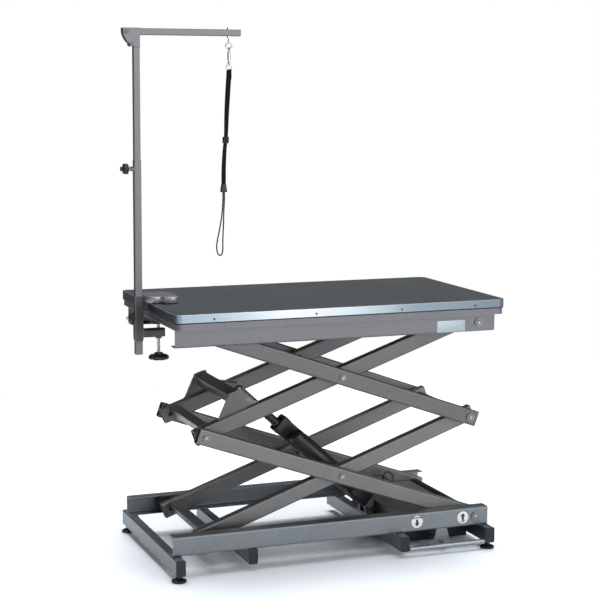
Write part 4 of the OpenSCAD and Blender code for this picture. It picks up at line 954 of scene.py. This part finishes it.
def lobed_knob(name, radius, height, lobes, origin, axis):
    """A star knob: deep flutes round its rim, a domed face and a raised hub."""
    profile = [(0.16, 0.0, 0), (0.55, 0.0, 0.2), (0.84, 0.03, 0.8), (0.95, 0.1, 1), (1.0, 0.2, 1),
               (1.0, 0.48, 1), (0.96, 0.58, 1), (0.86, 0.66, 0.8), (0.66, 0.70, 0.3), (0.5, 0.72, 0.1),
               (0.44, 0.76, 0), (0.42, 0.95, 0), (0.38, 1.0, 0), (0.16, 1.0, 0), (0.16, 0.0, 0)]
    samples = 16 * lobes
    place = round_axis(origin, axis)
    points = []
    for k, z, flute in profile:
        for i in range(samples):
            a = math.tau * i / samples
            r = radius * k * (1 - 0.17 * flute * (0.5 - 0.5 * math.cos(lobes * a)) ** 1.6)
            points.append(place(r, a, z * height))
    return new_piece(name, points, ring_faces(len(profile), samples, caps=False), nylon, 35)


def threaded_rod(name, radius, length, pitch, origin, axis):
    """A rod with a real helix, its ends plain for one pitch."""
    sides = 20
    steps = int(length / pitch * 6)
    place = round_axis(origin, axis)
    points = []
    for j in range(steps + 1):
        z = length * j / steps
        for k in range(sides):
            phase = (z / pitch - k / sides) % 1
            cut = 0.55 * (1 - abs(2 * phase - 1)) * (pitch < z < length - pitch)
            points.append(place(radius - cut, math.tau * k / sides, z))
    return new_piece(name, points, ring_faces(steps + 1, sides), nickel, 60)


screw_x = -512
screw_low = 634.9
screw_high = 763.3
mount(threaded_rod("clamp_thread", 5, screw_high - screw_low, 2, at(screw_x, 0, screw_low), (0, 0, 1)),
      "clamp_screw", "plated", "clamp_screw")
mount(lobed_knob("clamp_knob", 32.5, 22, 7, at(screw_x, 0, screw_low), (0, 0, 1)),
      "clamp_screw", "black_plastic")
post_x = -577
lock_z = 769.9
mount(threaded_rod("sleeve_thread", 4, 28, 1.5, at(post_x - 11.05, 0, lock_z), (-1, 0, 0)),
      "sleeve_knob", "plated", "sleeve_knob")
mount(lobed_knob("sleeve_grip", 20, 17, 6, at(post_x - 16.5, 0, lock_z), (-1, 0, 0)), "sleeve_knob",
      "black_plastic")
mount(turned("sleeve_insert", [(0, 0), (7, 0), (7, 1.2), (5.6, 2.2), (0, 2.4)], nickel,
             at(post_x - 33, 0, lock_z), (-1, 0, 0)), "sleeve_knob", "plated")


# Posts: two square steel tubes, the upper one sliding in the lower one. A knob on a plated stud
# locks them, through a nut on the lower one. The upper one has the cheeks that the arm folds up in.
dress(enamel("lower_post_enamel", "#5d5d5f", "#6c6c6e"), "lower_post")
dress(frame_enamel, "upper_post")
post_knob_z = 1234
mount(threaded_rod("post_thread", 4, 28.35, 1.5, at(post_x - 9.65, 0, post_knob_z), (-1, 0, 0)), "post_knob",
      "plated", "post_knob")
mount(lobed_knob("post_grip", 17.5, 24, 6, at(post_x - 28, 0, post_knob_z), (-1, 0, 0)), "post_knob",
      "black_plastic")
mount(turned("post_nut", [(4.2, 0), (7.4, 0), (7.8, 0.5), (7.8, 4.5), (7.4, 5), (4.2, 5), (4.2, 0)], zinc,
             at(post_x - 18.1, 0, post_knob_z), (-1, 0, 0), 6), "lower_post", "plated")
dress(plated("painted_bolts", "#606062", "#747476", 0.5), "arm_pins")


# Arm: a square steel tube, plugged at both ends. A nickel-plated eyebolt goes through it and
# holds a bolt snap, with its sliding bolt and swivel ring, for the noose.
arm_z = 1651
arm_left = post_x - 31.5 - 11
arm_right = post_x + 335
dress(frame_enamel, "arm_tube")
for name, x, way in (("arm_plug_left", arm_left, -1), ("arm_plug_right", arm_right, 1)):
    mount(pressed(name, rounded(20, 20, 3), 1.6, 0.6, nylon, at(x, 0, arm_z), (0, -way, 0), (0, 0, 1)), "arm",
          "black_plastic")
dress(nickel, "eyebolt", "snap_hook", "snap_gate")
